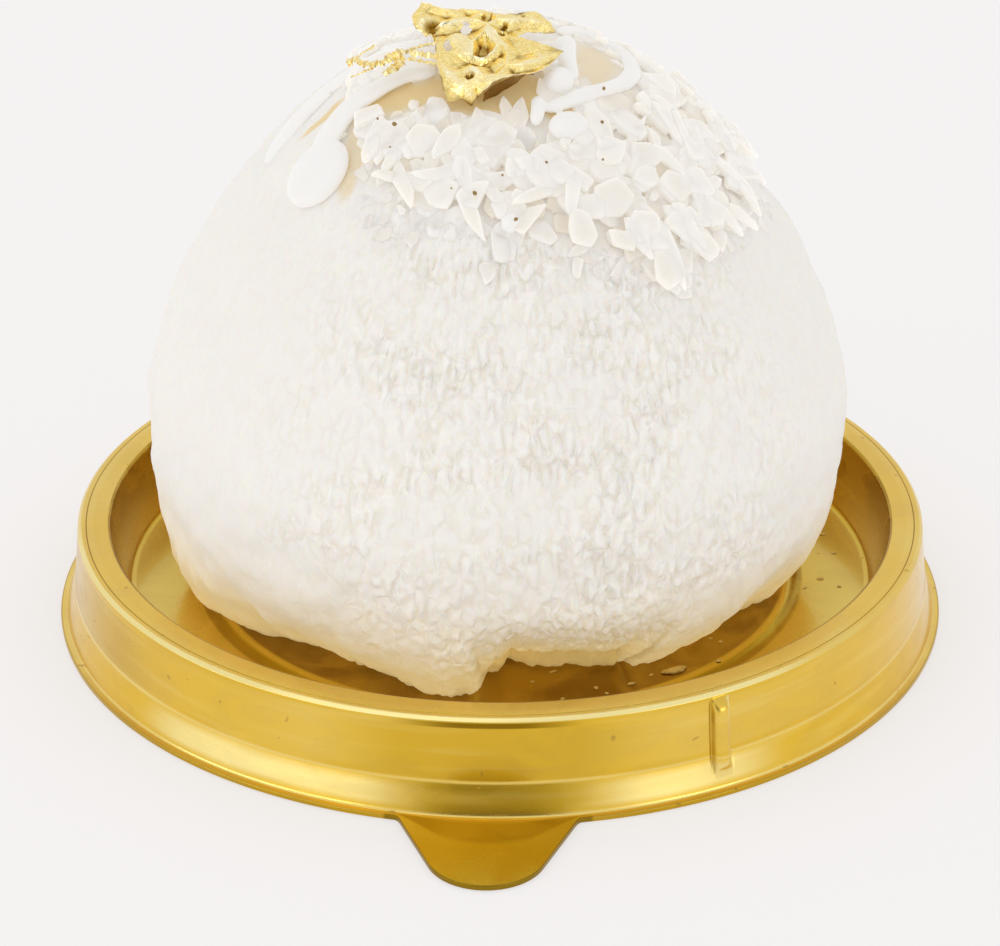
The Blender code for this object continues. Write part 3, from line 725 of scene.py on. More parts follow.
# Painted highlights where the flare mirrors the bright sides of the room: azimuths where each starts
# and ends.
HIGHLIT_FLARE = ((-47, -10), (13, 36), (100, 140), (190, 250))


def film_shade_share(tray, azimuth, radius, on_tab):
    """How much painted shade darkens the film at a place of the tray: under the food, along the rim's
    inner edge and on the tab.
    """
    if radius < tray.rim_inner_radius - 0.1 * MM:
        on_ring = SHADED_RING[0] < radius / MM < SHADED_RING[1]
        floor = 0.4 * fallen(from_front(azimuth), 44.0, 60.0) * on_ring
        return max(floor, np.interp(radius / MM, *zip(*FILM_SHADE)))
    if radius < tray.rim_inner_radius + 0.3 * MM:
        return 0.9
    return 0.5 if on_tab and radius < tray.flange_radius - 0.35 * MM else 0.0


def dark_line_share(tray, azimuth, radius, height):
    """How much painted shade darkens the film: in the groove, along the cut edge, and on the front of
    the shoulder, the skirt and the flare, where it mirrors the dark side of the room.
    """
    turn = from_front(azimuth)
    low, high = tray.rim_height - 0.9 * MM, tray.rim_height - 0.42 * MM
    if radius > tray.flange_radius - 0.1 * MM:
        return 0.8 if turn < TAB_HALF_TURN else 0.4
    if GROOVE[0] < radius < GROOVE[1] and height > tray.rim_height - 0.2 * MM:
        return 0.5
    if radius > SKIRT_FACE and low < height < high:
        return 0.85 * fallen(turn, 3.0, 14.0) + 0.03
    if radius > SKIRT_FACE and 3.8 * MM < height < high:
        left = step(-side_gap(azimuth, 0.0), 42.0, 58.0) * fallen(turn, 80.0, 95.0)
        return 0.2 * left + 0.17 * fallen(turn, 9.0, 21.0)
    if radius > FLARE_FACE and 0.8 * MM < height < 3.4 * MM:
        return 0.12 * fallen(turn, 8.0, 16.0)
    return 0.0


# How pale the skirt is by azimuth, where it mirrors the bright sides of the room.
PALE_SKIRT = (
    (-90, 0), (-58, 0), (-34, 0.07), (-22, 0.17), (-11, 0), (11, 0), (24, 0.16), (50, 0.05),
    (270, 0),
)


def highlight_share(tray, azimuth, radius, height):
    """How much painted highlight lightens the film: along the shoulder and the rim's top, the crease,
    the foot, parts of the flare and the skirt, and the floor ring at the back.
    """
    if radius < tray.rim_inner_radius:
        on_ring = LIT_RING[0] < radius / MM < LIT_RING[1]
        return 0.3 * step(from_front(azimuth), 46.0, 66.0) * on_ring
    if height > tray.rim_height - 0.5 * MM:
        if radius > SHOULDER:
            lit = 1.0 - 0.7 * step(abs(side_gap(azimuth, -20.0)), 52.0, 70.0)
            return 0.9 * (height > tray.rim_height - 0.33 * MM) * lit
        return 0.12 if radius > RIM_TOP else 0.05
    line = 0.4 * bell(height - tray.crease_height, 0.14 * MM)
    foot = 0.5 * bell(height - 0.62 * MM, 0.12 * MM)
    flare = 0.0
    for low, high in HIGHLIT_FLARE:
        gap, half = abs(side_gap(azimuth, (low + high) / 2)), (high - low) / 2
        flare = max(flare, fallen(gap, half - 6.0, half + 4.0))
    flare *= 0.62 * step(height, 0.7 * MM, 1.4 * MM) * fallen(height, 2.9 * MM, 3.6 * MM)
    skirt = read_table(azimuth, PALE_SKIRT) * step(height, 3.8 * MM, 4.6 * MM)
    return max(line, foot, flare, skirt)


def tray_mesh(tray, material):
    """The formed sheet as one closed mesh, with its painted shade, highlights and reflection tint on
    it.
    """
    path = tray_path(tray)[1:]
    columns = tray_azimuths()
    flat = (tray.flare_radius + 0.2 * MM, tray.flange_radius - 0.2 * MM)
    points, film_shade, tab, pale, edge = [], [], [], [], []
    for radius, height in path[:-1]:
        for azimuth in columns:
            points.append(TRAY_AXIS + tray_spot(tray, azimuth, radius, height, flat))
            on_tab = radius > flat[0] + 0.01 * MM and from_front(azimuth) < TAB_HALF_TURN
            on_floor = 29.0 * MM < radius < tray.wall_foot_radius
            # On the floor ring the tab's colour is a painted reflection tint.
            tab.append(0.45 if on_floor else float(on_tab))
            film_shade.append(film_shade_share(tray, azimuth, radius, on_tab))
            pale.append(highlight_share(tray, azimuth, radius, height))
            edge.append(dark_line_share(tray, azimuth, radius, height))
            if radius > SKIRT and BEAD_LOW < height < BEAD_HIGH:
                across = bead_across(tray, azimuth)
                # Painted highlight on the bead's lit side and painted shade beside its other side.
                pale[-1] = max(pale[-1], 0.9 * bell(across - 0.75, 0.2))
                film_shade[-1] = max(film_shade[-1], 0.6 * bell(across + 1.0, 0.16))
    rows, count = len(path) - 1, len(columns)
    faces = [tuple(reversed(face)) for face in grid_faces(rows, count)]
    for height in (tray.disc_height, path[-1].y):
        points.append(TRAY_AXIS + Vector((0.0, 0.0, height)))
    faces += fan_faces(len(points) - 2, list(range(count)))
    last = list(range((rows - 1) * count, rows * count))
    faces += fan_faces(len(points) - 1, last, flip=True)
    fields = {"film_shade": [*film_shade, 1.0, 1.0]}
    for name, values in (("tab", tab), ("pale", pale), ("edge", edge)):
        fields[name] = [*values, 0.0, 0.0]
    return new_object("gold_tray", points, faces, material, fields)


# --- skin ---

DOME_POWERS = (1.578, 1.808)
FOOT_POWERS = (2.582, 2.356)
SKIN_ROWS = 138
FINE_COLUMNS = 416
PLAIN_COLUMNS = 290
FINE_HALF_TURN = 75.0
FIELD_STEP = 0.3 * MM

# The hem's edge: azimuth, radius and how far it lifts off the tray.
HEM = (
    (-90, 31.5, 0), (-76, 31.5, 0), (-68.5, 30.9, 0), (-61, 29.5, 0), (-51.6, 28.1, 0),
    (-44.5, 26.7, 0.1), (-40, 25.9, 0.2), (-31.5, 26, 0.3), (-21, 26.5, 0.1), (-14, 28, 0),
    (-8.6, 28.4, 0), (-4, 27.9, 0), (-1, 26, 0.1), (1.6, 24.6, 0.1), (3, 22.6, 0.2),
    (4.3, 20.4, 0.3), (5.4, 21.8, 0.1), (7.6, 22.5, 0), (16.2, 23.5, 0), (24.1, 24.1, 0),
    (28.3, 25.5, 0), (35, 26.1, 0), (43, 26.2, 0.2), (50, 25.2, 0.6), (56, 24.6, 0.4),
    (60, 25.2, 0.3), (64, 26.8, 0.2), (68, 27.5, 0), (76, 28.6, 0), (87, 30.5, 0.1),
    (100, 29, 0.4), (118, 30.3, 0), (133, 27.6, 0.7), (150, 29.4, 0), (165, 27, 0.6),
    (180, 29, 0), (196, 30.2, 0.1), (212, 27.4, 0.8), (232, 29.6, 0), (247, 27.8, 0.5),
    (262, 29.8, 0), (270, 30.6, 0),
)

# Folds that run up from the hem: azimuth, width on its left and right, depth, height, lean. The
# widths are in degrees, the depth and height in mm and the lean in degrees for each mm.
FOLDS = (
    (-42.8, 9, 1, 1.3, 7, -0.35), (-35, 2.4, 2.4, 0.6, 4.2, -0.3), (-24, 3.5, 2.5, 0.35, 5, 0.2),
    (-1.6, 0.35, 3.4, 1.6, 9.5, -0.12), (31.5, 2.8, 0.45, 1.3, 9, -0.05),
    (50.5, 3.2, 1.2, 0.6, 6, 0.3), (61, 2, 2, 0.35, 4, 0), (83, 3.4, 1, 0.5, 6, -0.2),
    (110, 4, 1.2, 0.8, 8, 0.2), (139, 1, 4, 0.7, 7, -0.3), (165, 4.4, 1.2, 0.9, 9, 0.2),
    (190, 3, 3, 0.5, 6, 0), (215, 1, 4.2, 0.8, 8, -0.2), (239, 3.5, 1.2, 0.6, 7, 0.3),
    (262, 4, 1.1, 0.9, 9, 0),
)

# The curled lip beside the front fold: azimuth, half width, height, half height and relief.
CURL = (2.7, 1.8, 1.8 * MM, 0.9 * MM, 1.9 * MM)

# Height of the smooth under layer that shows below the torn skin, by azimuth.
UNDER_LAYER = heights(
    (-90, 1.2), (-66, 0.6), (-56, 0.7), (-45, 0.7), (-42.5, 0.5), (-37, 1.2), (-33, 0.8),
    (-12, 0.6), (-3, 0.7), (1, 2.2), (6, 2.5), (16, 2.6), (24, 2.3), (28.5, 2.9), (30.5, 0.6),
    (48, 0.6), (56, 1.4), (75, 0.7), (120, 1.9), (150, 0.7), (185, 1.8), (215, 0.8), (245, 2.2),
    (270, 1.2),
)

# Height of the coconut's lower edge, by azimuth.
FLAKE_LIMITS = heights(
    (-90, 54.5), (-60, 53.6), (-46, 52.2), (-24, 49.2), (0, 47.4), (24, 46), (36, 42.2),
    (60, 44.5), (90, 44.5), (135, 48.5), (180, 51), (225, 53), (270, 54.5),
)

# Height up to which the dough looks damp, by azimuth.
DAMP_REACH = heights(
    (-90, 5), (-66, 7.5), (-56, 8.4), (-45, 8.6), (-42.5, 5), (-35, 6.5), (-25, 5.5), (-8, 6.5),
    (4, 10), (20, 9.2), (28, 6.6), (34, 5.6), (50, 7.6), (62, 9), (74, 9), (90, 6), (270, 5),
)

# Bare dough on the crown, whose tan also paints the shade under the drizzle and the leaf and in the
# slot: plan centre, half sizes and turn in degrees, in mm from the skin's axis, and how bare it is.
BARE = (
    (-8.4, -8.6, 5, 1.9, -8, 1), (-12.9, -12.2, 1.3, 4.6, -8, 0.6),
    (-16.3, -4.9, 2.5, 0.62, 30, 0.9), (0.6, -10, 6.8, 2.9, 0, 1), (9.3, -2.4, 2.2, 5.2, 0, 0.6),
    (-1.3, -14.3, 0.8, 1.4, 0, 0.7), (10.7, -16.5, 0.9, 1.7, 30, 0.7),
    (6.6, -12, 2.6, 0.7, 32, 1),
)


def bare_share(x, y):
    """How bare the dough is at plan places in mm, with the shade under the drizzle painted in the
    same tan.
    """
    bare = np.zeros_like(x)
    for centre_x, centre_y, half_x, half_y, degrees, most in BARE:
        cosine, sine = math.cos(math.radians(degrees)), math.sin(math.radians(degrees))
        along = ((x - centre_x) * cosine + (y - centre_y) * sine) / half_x
        across = ((y - centre_y) * cosine - (x - centre_x) * sine) / half_y
        bare = np.maximum(bare, most * fallen(np.hypot(along, across), 0.75, 1.15))
    return bare


def plain_radius(skin, height):
    """Radius of the plain skin at a height, or at an array of heights."""
    over = np.clip((height - skin.waist) / skin.dome_rise, 0.0, 1.0)
    under = np.clip((skin.waist - height) / skin.foot_depth, 0.0, 1.0)
    dome = (1 - over ** DOME_POWERS[0]) ** (1 / DOME_POWERS[1])
    foot = (1 - under ** FOOT_POWERS[0]) ** (1 / FOOT_POWERS[1])
    return skin.radius * np.where(height >= skin.waist, dome, foot)


def dome_height(skin, radius):
    """Height of the plain dome at a radius from its axis."""
    part = min(1.0, radius / skin.radius)
    return skin.waist + skin.dome_rise * (1 - part ** DOME_POWERS[1]) ** (1 / DOME_POWERS[0])


def on_dome(skin, x, y, rise=0.0):
    """The point above a plan place on the dome, and the dome's outward direction there."""
    radius = math.hypot(x, y)
    gap = 0.1 * MM
    slope = (dome_height(skin, radius + gap) - dome_height(skin, radius)) / gap
    outward = Vector((x, y, 0.0)).normalized() if radius else Vector()
    normal = (Vector((0.0, 0.0, 1.0)) - outward * slope).normalized()
    place = SKIN_AXIS + Vector((x, y, dome_height(skin, radius))) + normal * rise
    return place, normal


def skin_heights(skin, rows):
    """Heights whose rows are evenly spaced along the profile, closer at the foot."""
    foot = skin.base + (skin.waist - skin.base) * np.linspace(0, 1, 400) ** 1.6
    dome = skin.waist + skin.dome_rise * np.sin(np.linspace(0, math.pi / 2, 800))
    height = np.concatenate([foot, dome[1:]])
    radius = plain_radius(skin, height)
    run = np.hypot(np.diff(height), np.diff(radius))
    arc = np.concatenate([[0.0], np.cumsum(run)])
    run = run * (1 + 0.8 * step(12 * MM - height[1:], 0.0, 8 * MM))
    run = run * (1 - 0.65 * step(height[1:], 50 * MM, 54 * MM))
    along = np.concatenate([[0.0], np.cumsum(run)])
    chosen = np.linspace(0.0, along[-1], rows + 1)[:-1]
    return np.interp(chosen, along, height), np.interp(chosen, along, arc)


def skin_azimuths():
    """Columns of the skin, closer together on the front."""
    front = np.linspace(-FINE_HALF_TURN, FINE_HALF_TURN, FINE_COLUMNS, endpoint=False)
    back = np.linspace(FINE_HALF_TURN, 360 - FINE_HALF_TURN, PLAIN_COLUMNS, endpoint=False)
    return np.concatenate([front, back]) + 5.0


def band_field(arc, azimuth, girth, pitch, spread, stretch, seed):
    """Random relief of one pitch, read from a flat field at arc lengths and azimuths.

    The field keeps a band of the frequencies of white noise and closes on itself round the skin.
    """
    rule = np.random.default_rng(seed)
    rows, columns = 288, round(girth / FIELD_STEP)
    across = np.abs(np.fft.fftfreq(columns, girth / columns))[None, :]
    upward = np.abs(np.fft.fftfreq(rows, FIELD_STEP))[:, None] * stretch
    reach = np.hypot(across, upward) * pitch
    keep = np.exp(-(((reach - 1) / spread) ** 2))
    field = np.fft.ifft2(np.fft.fft2(rule.standard_normal((rows, columns))) * keep).real
    field /= field.std()
    up = arc / FIELD_STEP
    side = (azimuth % 360.0) / 360.0 * columns
    row, column = np.floor(up).astype(int), np.floor(side).astype(int)
    up, side = up - row, side - column
    low = field[row % rows, column % columns] * (1 - side)
    low = low + field[row % rows, (column + 1) % columns] * side
    high = field[(row + 1) % rows, column % columns] * (1 - side)
    high = high + field[(row + 1) % rows, (column + 1) % columns] * side
    return low * (1 - up) + high * up


def ragged(azimuth, low, high, seed):
    """A torn edge round the whole turn: waves between two counts with random phases."""
    rule = random.Random(seed)
    total = np.zeros_like(azimuth)
    for count in range(low, high):
        size = (low / count) ** 0.9 * rule.uniform(0.5, 1.0)
        total += size * np.sin(np.radians(azimuth) * count + rule.uniform(0.0, math.tau))
    return total / 1.8


def hem_edge(azimuth):
    """Radius and lift of the torn hem at each azimuth."""
    fine = np.linspace(-90.0, 270.0, 721)
    soft = np.exp(-((np.linspace(-4.0, 4.0, 17) / 0.9) ** 2))
    values = []
    for column in (1, 2):
        level = read_table(fine, [(row[0], row[column]) for row in HEM])
        level[-1] = HEM[-1][column]
        wrapped = np.concatenate([level[-9:-1], level, level[1:9]])
        smooth = np.convolve(wrapped, soft / soft.sum(), "valid")
        values.append(np.interp((azimuth + 90.0) % 360.0 - 90.0, fine, smooth) * MM)
    radius, lift = values
    radius = radius + ragged(azimuth, 20, 50, 5) * 0.13 * MM
    radius = radius + ragged(azimuth, 50, 120, 6) * 0.06 * MM
    return radius, np.clip(lift + ragged(azimuth, 26, 70, 7) * 0.1 * MM, 0.0, None)


def fold_depth(azimuth, above):
    """Depth of the folds, each steep on one side, at heights above the base, and the painted shade
    along their steep sides.
    """
    depth = np.zeros(np.broadcast(azimuth, above).shape)
    fold_shade = np.zeros_like(depth)
    for centre, left, right, most, reach, lean in FOLDS:
        fade = np.clip(1 - above / (reach * MM), 0.0, 1.0)
        gap = side_gap(azimuth, centre + lean * above / MM)
        width = np.where(gap < 0, left, right) * (0.35 + 0.65 * fade)
        depth += most * MM * fade**0.8 * bell(gap, width)
        if min(left, right) < 1.0:
            fold_shade += fade**0.7 * bell(gap, 0.5)
    return depth, np.clip(fold_shade, 0.0, 1.0)


def skin_faces(columns):
    """Faces of the skin: its rows, the narrow ring below them, the underside and the top."""
    faces = grid_faces(SKIN_ROWS, columns)
    under = SKIN_ROWS * columns
    for i in range(columns):
        after = (i + 1) % columns
        faces.append((under + i, under + after, after, i))
    middle, top = under + columns, under + columns + 1
    faces += fan_faces(middle, list(range(under, middle)), flip=True)
    return faces + fan_faces(top, list(range(under - columns, under)))


def skin_mesh(skin, material):
    """The dough: a dome on a torn, folded hem, with wrinkles and its looks painted on it."""
    azimuth = skin_azimuths()[None, :]
    height, arc = (values[:, None] for values in skin_heights(skin, SKIN_ROWS))
    above = height - skin.base

    # The torn hem with the smooth under layer below it.
    hem, lift = hem_edge(azimuth)
    foot = read_table(azimuth, UNDER_LAYER) + ragged(azimuth, 20, 90, 9) * 0.15 * MM
    foot = np.clip(foot, 0.3 * MM, None)
    raised = np.clip(above - foot, 0.0, None) * skin.hem_reach / (skin.hem_reach - foot)
    raised = np.where(above > skin.hem_reach, above, raised)
    fade = np.clip(1 - raised / skin.hem_reach, 0.0, 1.0)
    radius = plain_radius(skin, skin.base + raised)
    radius = radius + (hem - plain_radius(skin, skin.base)) * fade**1.5
    layer = fallen(above, foot - 0.2 * MM, foot + 0.22 * MM)
    torn = np.clip(foot / (1.6 * MM), 0.0, 1.0)
    lip = bell(above - foot - 0.45 * MM, 0.5 * MM)
    radius = radius - layer * torn * 0.65 * MM + lip * torn * 0.15 * MM

    # Folds, the curled lip and the rounded lower edge.
    folds, fold_shade = fold_depth(azimuth, above)
    centre, half_turn, curl_height, half_height, curl_relief = CURL
    beside = side_gap(azimuth, centre)
    below_curl = ((above - 3.3 * MM + 0.2 * MM * beside) / (0.3 * MM)) ** 2
    # Painted shadow under the curled lip.
    fold_shade = np.maximum(fold_shade, 0.9 * np.exp(-below_curl - (beside / 2.0) ** 4))
    radius = radius - folds - 0.45 * MM * np.clip(1 - above / (0.5 * MM), 0.0, 1.0) ** 2
    curl = (beside / half_turn) ** 2 + ((above - curl_height) / half_height) ** 2
    radius = radius + curl_relief * np.exp(-curl)

    # Wrinkles, dimples and broad lumps, calmer near the hem and under the coconut.
    def field(pitch, spread, stretch, seed):
        return band_field(arc, azimuth, math.tau * skin.radius, pitch, spread, stretch, seed)

    fine, coarse = field(skin.wrinkle_pitch, 0.28, 1.9, 3), field(2.1 * MM, 0.4, 1.5, 8)
    worms = np.tanh(1.5 * fine + 0.6 * coarse)
    patches = step(field(16 * MM, 0.6, 0.7, 6), -1.0, 0.9)
    front = bell(side_gap(azimuth, 10.0), 42.0, 4)
    back = 0.7 * bell(side_gap(azimuth, 175.0), 66.0, 4)
    rough = ((front + back) * (0.4 + 0.6 * patches) + 0.14) * (1 - 0.75 * layer * torn)
    turn_here = side_gap(azimuth, 0.0)
    calm = fallen(above, 6 * MM, 18 * MM) * fallen(turn_here, -14.0, -2.0)
    calm = calm + fallen(above, 5 * MM, 14 * MM) * step(turn_here, 29.0, 35.0)
    rough = rough * (1 - 0.65 * calm)
    limit = read_table(azimuth, FLAKE_LIMITS)
    covered = step(height + 0 * limit, limit - 0.2 * MM, limit + 2.2 * MM)
    relief = skin.wrinkle * rough * worms + 0.045 * MM * field(3.4 * MM, 0.4, 1.2, 5)
    lumps = 0.12 * MM * field(12 * MM, 0.5, 1.0, 4) * step(above, 0.5 * MM, 8 * MM)
    relief = (relief + lumps) * (1 - 0.9 * covered)

    turn = np.radians(azimuth)
    across, back = radius * np.sin(turn), radius * np.cos(turn)
    level = np.broadcast_to(height + lift * fade**2, radius.shape)
    spots = np.stack([SKIN_AXIS.x + across, SKIN_AXIS.y - back, level], axis=-1)
    bare = bare_share(across / MM, -back / MM)
    # Painted shade between the flakes, in the bare dough's tan.
    bare = np.where(height > skin.waist, np.maximum(bare, 0.12 * covered), 0.0)
    around_step = np.roll(spots, -1, 1) - np.roll(spots, 1, 1)
    normal = np.cross(around_step, np.gradient(spots, axis=0))
    normal /= np.linalg.norm(normal, axis=-1, keepdims=True) + 1e-12
    spots += normal * relief[..., None]

    # What the rice skin's finish reads, with its painted shade and painted glow.
    reach = read_table(azimuth, DAMP_REACH)
    low = fallen(above + 1.6 * MM * (patches - 0.5), 0.3 * reach, reach)
    thin_edge = fallen(above, foot - 0.1 * MM, foot + 0.5 * MM)
    painted = {
        # damp is the creamier tone of the thin dough near the hem, and painted shade in the folds.
        "damp": np.clip(0.62 * low + 0.45 * np.clip(folds / (1.1 * MM), 0.0, 1.0), 0.0, 1.0),
        "thin": torn * np.maximum(thin_edge, 0.5 * fallen(above, foot, foot + 2.6 * MM)),
        "glow": np.clip(fallen(above, 0.0, 17.0 * MM) + 0.15 * bare, 0.0, 1.0),
        "bare": bare,
        "rough": rough * (1 - covered),
        "valley_shade": np.clip(-worms, 0.0, 1.0) * rough * (1 - bare),
        "fold_shade": fold_shade,
    }
    under, top = {"damp": 1.0}, {"bare": 1.0}
    rest = np.ones(azimuth.size + 1)
    for name, values in painted.items():
        painted[name] = np.concatenate(
            [values.ravel(), rest * under.get(name, 0.0), [top.get(name, 0.0)]]
        )

    middle = np.array([SKIN_AXIS.x, SKIN_AXIS.y, skin.base])
    inner = middle + (spots[0] - middle) * 0.86
    inner[:, 2] = skin.base
    peak = np.array([SKIN_AXIS.x, SKIN_AXIS.y, skin.waist + skin.dome_rise])
    points = [*spots.reshape(-1, 3), *inner, middle, peak]
    return new_object("mochi_skin", points, skin_faces(azimuth.size), material, painted)


# --- toppings ---

# Drizzle: plan points on the dome from the skin's axis, rise of the middle and half width.
DRIP = (
    (-15.9, -10.9, 0.5, 1.7), (-14.8, -8.9, 0.5, 1.65), (-13.2, -7.4, 0.55, 1.6),
    (-11.3, -6.9, 0.6, 1.4), (-9.7, -6.6, 0.65, 1.25), (-7.8, -6.6, 0.7, 1.05),
    (-5.3, -7.3, 0.6, 0.8),
)
SIDE = (
    (-22, -5.6, -0.3, 1), (-20.6, -3, -0.15, 1.9), (-18.6, -0.6, -0.1, 2.2), (-15.8, 1, -0.05, 2),
    (-12.6, 0.8, 0.1, 1.7), (-9.4, 0.3, 0.3, 1.3), (-6.5, -1.7, 0.2, 1),
)
LOOP = (
    (5.6, 2.2, 0.3, 0.9), (8.2, 5.2, 0.4, 1.1), (11.3, 4.2, 0.4, 1.1), (12.6, 0, 0.4, 1),
    (12, -3.8, 0.5, 0.9), (10.4, -6.6, 0.6, 0.8), (8.4, -8.7, 0.7, 0.8), (6.6, -10.4, 0.7, 0.75),
    (4.5, -11.9, 0.5, 0.7),
)
BAND = (
    (6.7, 1, 0.3, 0.8), (6.3, -2.4, 0.5, 1.1), (6.6, -5.6, 0.6, 0.9), (7.2, -7.4, 0.5, 0.7),
)
DASH = (
    (3.9, -10.6, 0.6, 0.7), (3.9, -12.2, 0.7, 0.7), (3.7, -13.6, 0.5, 0.6),
)
RIBBONS = (DRIP, SIDE, LOOP, BAND, DASH)

# Bare hollows on the crown that flakes keep out of: plan centre and half sizes.
HOLLOWS = (
    (-0.5, 1, 6.5, 5), (9.3, -2.4, 2.4, 4.6), (-7.8, -8.8, 5.6, 1.5), (-13, -12.2, 1.2, 4),
    (-17, -4.5, 4.4, 3.6), (5.6, -12.9, 1.3, 0.9), (8, -11.3, 1.5, 0.9),
)
RIBBON_HALF_HEIGHT = 0.55 * MM
RIBBON_SIDES = 14
LUMP_ROWS = 11
LUMP_COLUMNS = 20
MELT_GRAIN = 0.16 * MM
MELT_TURNS = 8

# Rounded lumps: plan place, half sizes along and across the slope, and half height.
LUMPS = (
    (-15.9, -13, 3.7, 3.2, 1.35), (5.7, -8.2, 1.45, 1.5, 1.3), (6.7, -13, 1.6, 2, 1.2),
    (1.7, -21.6, 0.95, 0.9, 0.85),
)

# Long shreds of coconut: plan place, length, width and turn from straight down the slope.
STRIPS = (
    (15.8, -19.4, 8, 1.7, 2), (17.4, -16.4, 6.5, 1.6, 9), (18.6, -13.4, 5.6, 1.4, -12),
    (13, -19.9, 5.2, 1.7, 16), (20.8, -12.6, 6.2, 1.2, 20), (22.6, -10.8, 5, 1.1, 32),
    (15.6, -11.8, 5.4, 1.4, 18), (21.5, -7, 5.4, 1.2, 14), (7, -19, 4.8, 1.6, -22),
    (-2.5, -18.2, 4.6, 1.8, 28), (23, 5, 6, 1.3, -10), (-6, 18, 6, 1.5, 12),
    (10, 19, 5.6, 1.4, -16),
)
LEAF_PLACE = (-1.1 * MM, -7.9 * MM)
LEAF_LIFT = 1.2 * MM

CHIP_SPOKES = 16

# Rings of a chip from the middle of one face to the other: share of its size and of its thickness.
CHIP_RINGS = (
    (0, 0.5), (0.84, 0.5), (0.95, 0.4), (1, 0.1), (0.99, -0.25), (0.88, -0.48), (0, -0.5),
)


def slope_pose(skin, x, y, rise, spin, pitch=0.0, roll=0.0):
    """A pose on the dome with its own X down the slope, turned, and tipped two ways."""
    place, normal = on_dome(skin, x, y, rise)
    outward = Vector((x, y, 0.0)).normalized()
    down = (outward - normal * outward.dot(normal)).normalized()
    side = normal.cross(down)
    pose = Matrix((down, side, normal)).transposed().to_4x4()
    turned = Matrix.Rotation(spin, 4, "Z") @ Matrix.Rotation(pitch, 4, "Y")
    return Matrix.Translation(place) @ pose @ turned @ Matrix.Rotation(roll, 4, "X")


def shard_outline(rule, corners, reach_low):
    """A broken chip's outline: straight sides between uneven corners, one point for each spoke."""
    start = rule.uniform(0.0, math.tau)
    turns = [start + math.tau * (k + rule.uniform(-0.3, 0.3)) / corners for k in range(corners)]
    places = [
        Vector((math.cos(turn), math.sin(turn))) * rule.uniform(reach_low, 1.08) for turn in turns
    ]
    outline = []
    for k in range(corners):
        low, high = places[k], places[(k + 1) % corners]
        count = CHIP_SPOKES // corners + (k < CHIP_SPOKES % corners)
        for i in range(count):
            outline.append(low.lerp(high, i / count) * (1 + rule.uniform(-0.05, 0.05) * (i > 0)))
    after = outline[1:] + outline[:1]
    return [(outline[k - 1] + outline[k] * 7 + after[k]) / 9 for k in range(CHIP_SPOKES)]


def add_chip(points, faces, pose, size, rule, corners=None, reach_low=0.62, taper=0.0):
    """One bent chip with a rounded edge, as rings from the middle of one face to the other."""
    half_length, half_width, thick = size[0] / 2, size[1] / 2, size[2]
    outline = shard_outline(rule, corners or rule.choice((4, 5, 5, 6, 6)), reach_low)
    cup, trough = (rule.uniform(-0.01, 0.05) * side for side in size[:2])
    twist = rule.uniform(-0.15, 0.15)
    first = len(points)
    rings = []
    for part, rise in CHIP_RINGS:
        spots = outline if part else [Vector((0.0, 0.0))]
        rings.append(list(range(len(points), len(points) + len(spots))))
        for spot in spots:
            along, across = spot.x * part, spot.y * part
            bend = -cup * along**2 - trough * across**2 + twist * along * across * half_width
            swell = rise * thick * (1 - 0.1 * (along**2 + across**2))
            wide = half_width * (1 - taper * along)
            points.append(pose @ Vector((along * half_length, across * wide, bend + swell)))
    faces.extend(fan_faces(rings[0][0], rings[1]))
    for low, high in zip(rings[1:-2], rings[2:-1]):
        for i in range(CHIP_SPOKES):
            j = (i + 1) % CHIP_SPOKES
            faces.append((low[i], high[i], high[j], low[j]))
    faces.extend(fan_faces(rings[-1][0], rings[-2], flip=True))
    return len(points) - first


def within(x, y, centre_x, centre_y, half_x, half_y):
    """Whether a plan place lies in an oval."""
    return ((x - centre_x) / half_x) ** 2 + ((y - centre_y) / half_y) ** 2 < 1


def under_leaf(x, y, margin):
    """Whether a plan place lies under the gold leaf or within a margin of it."""
    return within(x, y, *LEAF_PLACE, 6.2 * MM + margin, 4.2 * MM + margin)


def in_hollow(x, y):
    """Whether a plan place lies in one of the bare hollows between the toppings."""
    return any(within(x / MM, y / MM, *hollow) for hollow in HOLLOWS)


def on_lump(x, y):
    """Whether a plan place lies on the drop or on a lump of cream."""
    return any(math.hypot(x / MM - lump[0], y / MM - lump[1]) < lump[2] * 0.8 for lump in LUMPS)


def near_ribbon(x, y, paths, distance):
    """Whether a plan place lies near one of the drizzled ribbons."""
    return any(math.hypot(x - spot.x, y - spot.y) < distance for path in paths for spot in path)


def flake_spots(skin, count, rule):
    """Plan places spread evenly over the crown, thinning out below its edge."""
    paths = [smooth_path([Vector(row[:2]) * MM for row in ribbon], 4) for ribbon in RIBBONS]
    spots, chosen = [], []
    while len(spots) < count:
        best = None
        for _ in range(FLAKE_TRIES):
            radius = skin.radius * 0.86 * math.sqrt(rule.random())
            azimuth = rule.uniform(0.0, 360.0)
            x, y, _height = around(azimuth, radius, 0.0)
            over = dome_height(skin, radius) - float(read_table(azimuth, FLAKE_LIMITS))
            if over < rule.uniform(-2.4 * MM, 0.6 * MM):
                continue
            if near_ribbon(x, y, paths, 1.0 * MM) or under_leaf(x, y, 0.5 * MM):
                continue
            if in_hollow(x, y) or on_lump(x, y):
                continue
            place, _normal = on_dome(skin, x, y)
            room = 1.0
            if chosen:
                gaps = np.array(chosen) - np.array(place)
                room = float(np.min(np.einsum("ij,ij->i", gaps, gaps)))
            if best is None or room > best[0]:
                best = (room, x, y, over, place)
        if best:
            _room, x, y, over, place = best
            low = near_ribbon(x, y, paths, 2.2 * MM) or under_leaf(x, y, 3 * MM)
            spots.append((x, y, over, low))
            chosen.append(tuple(place))
    return spots


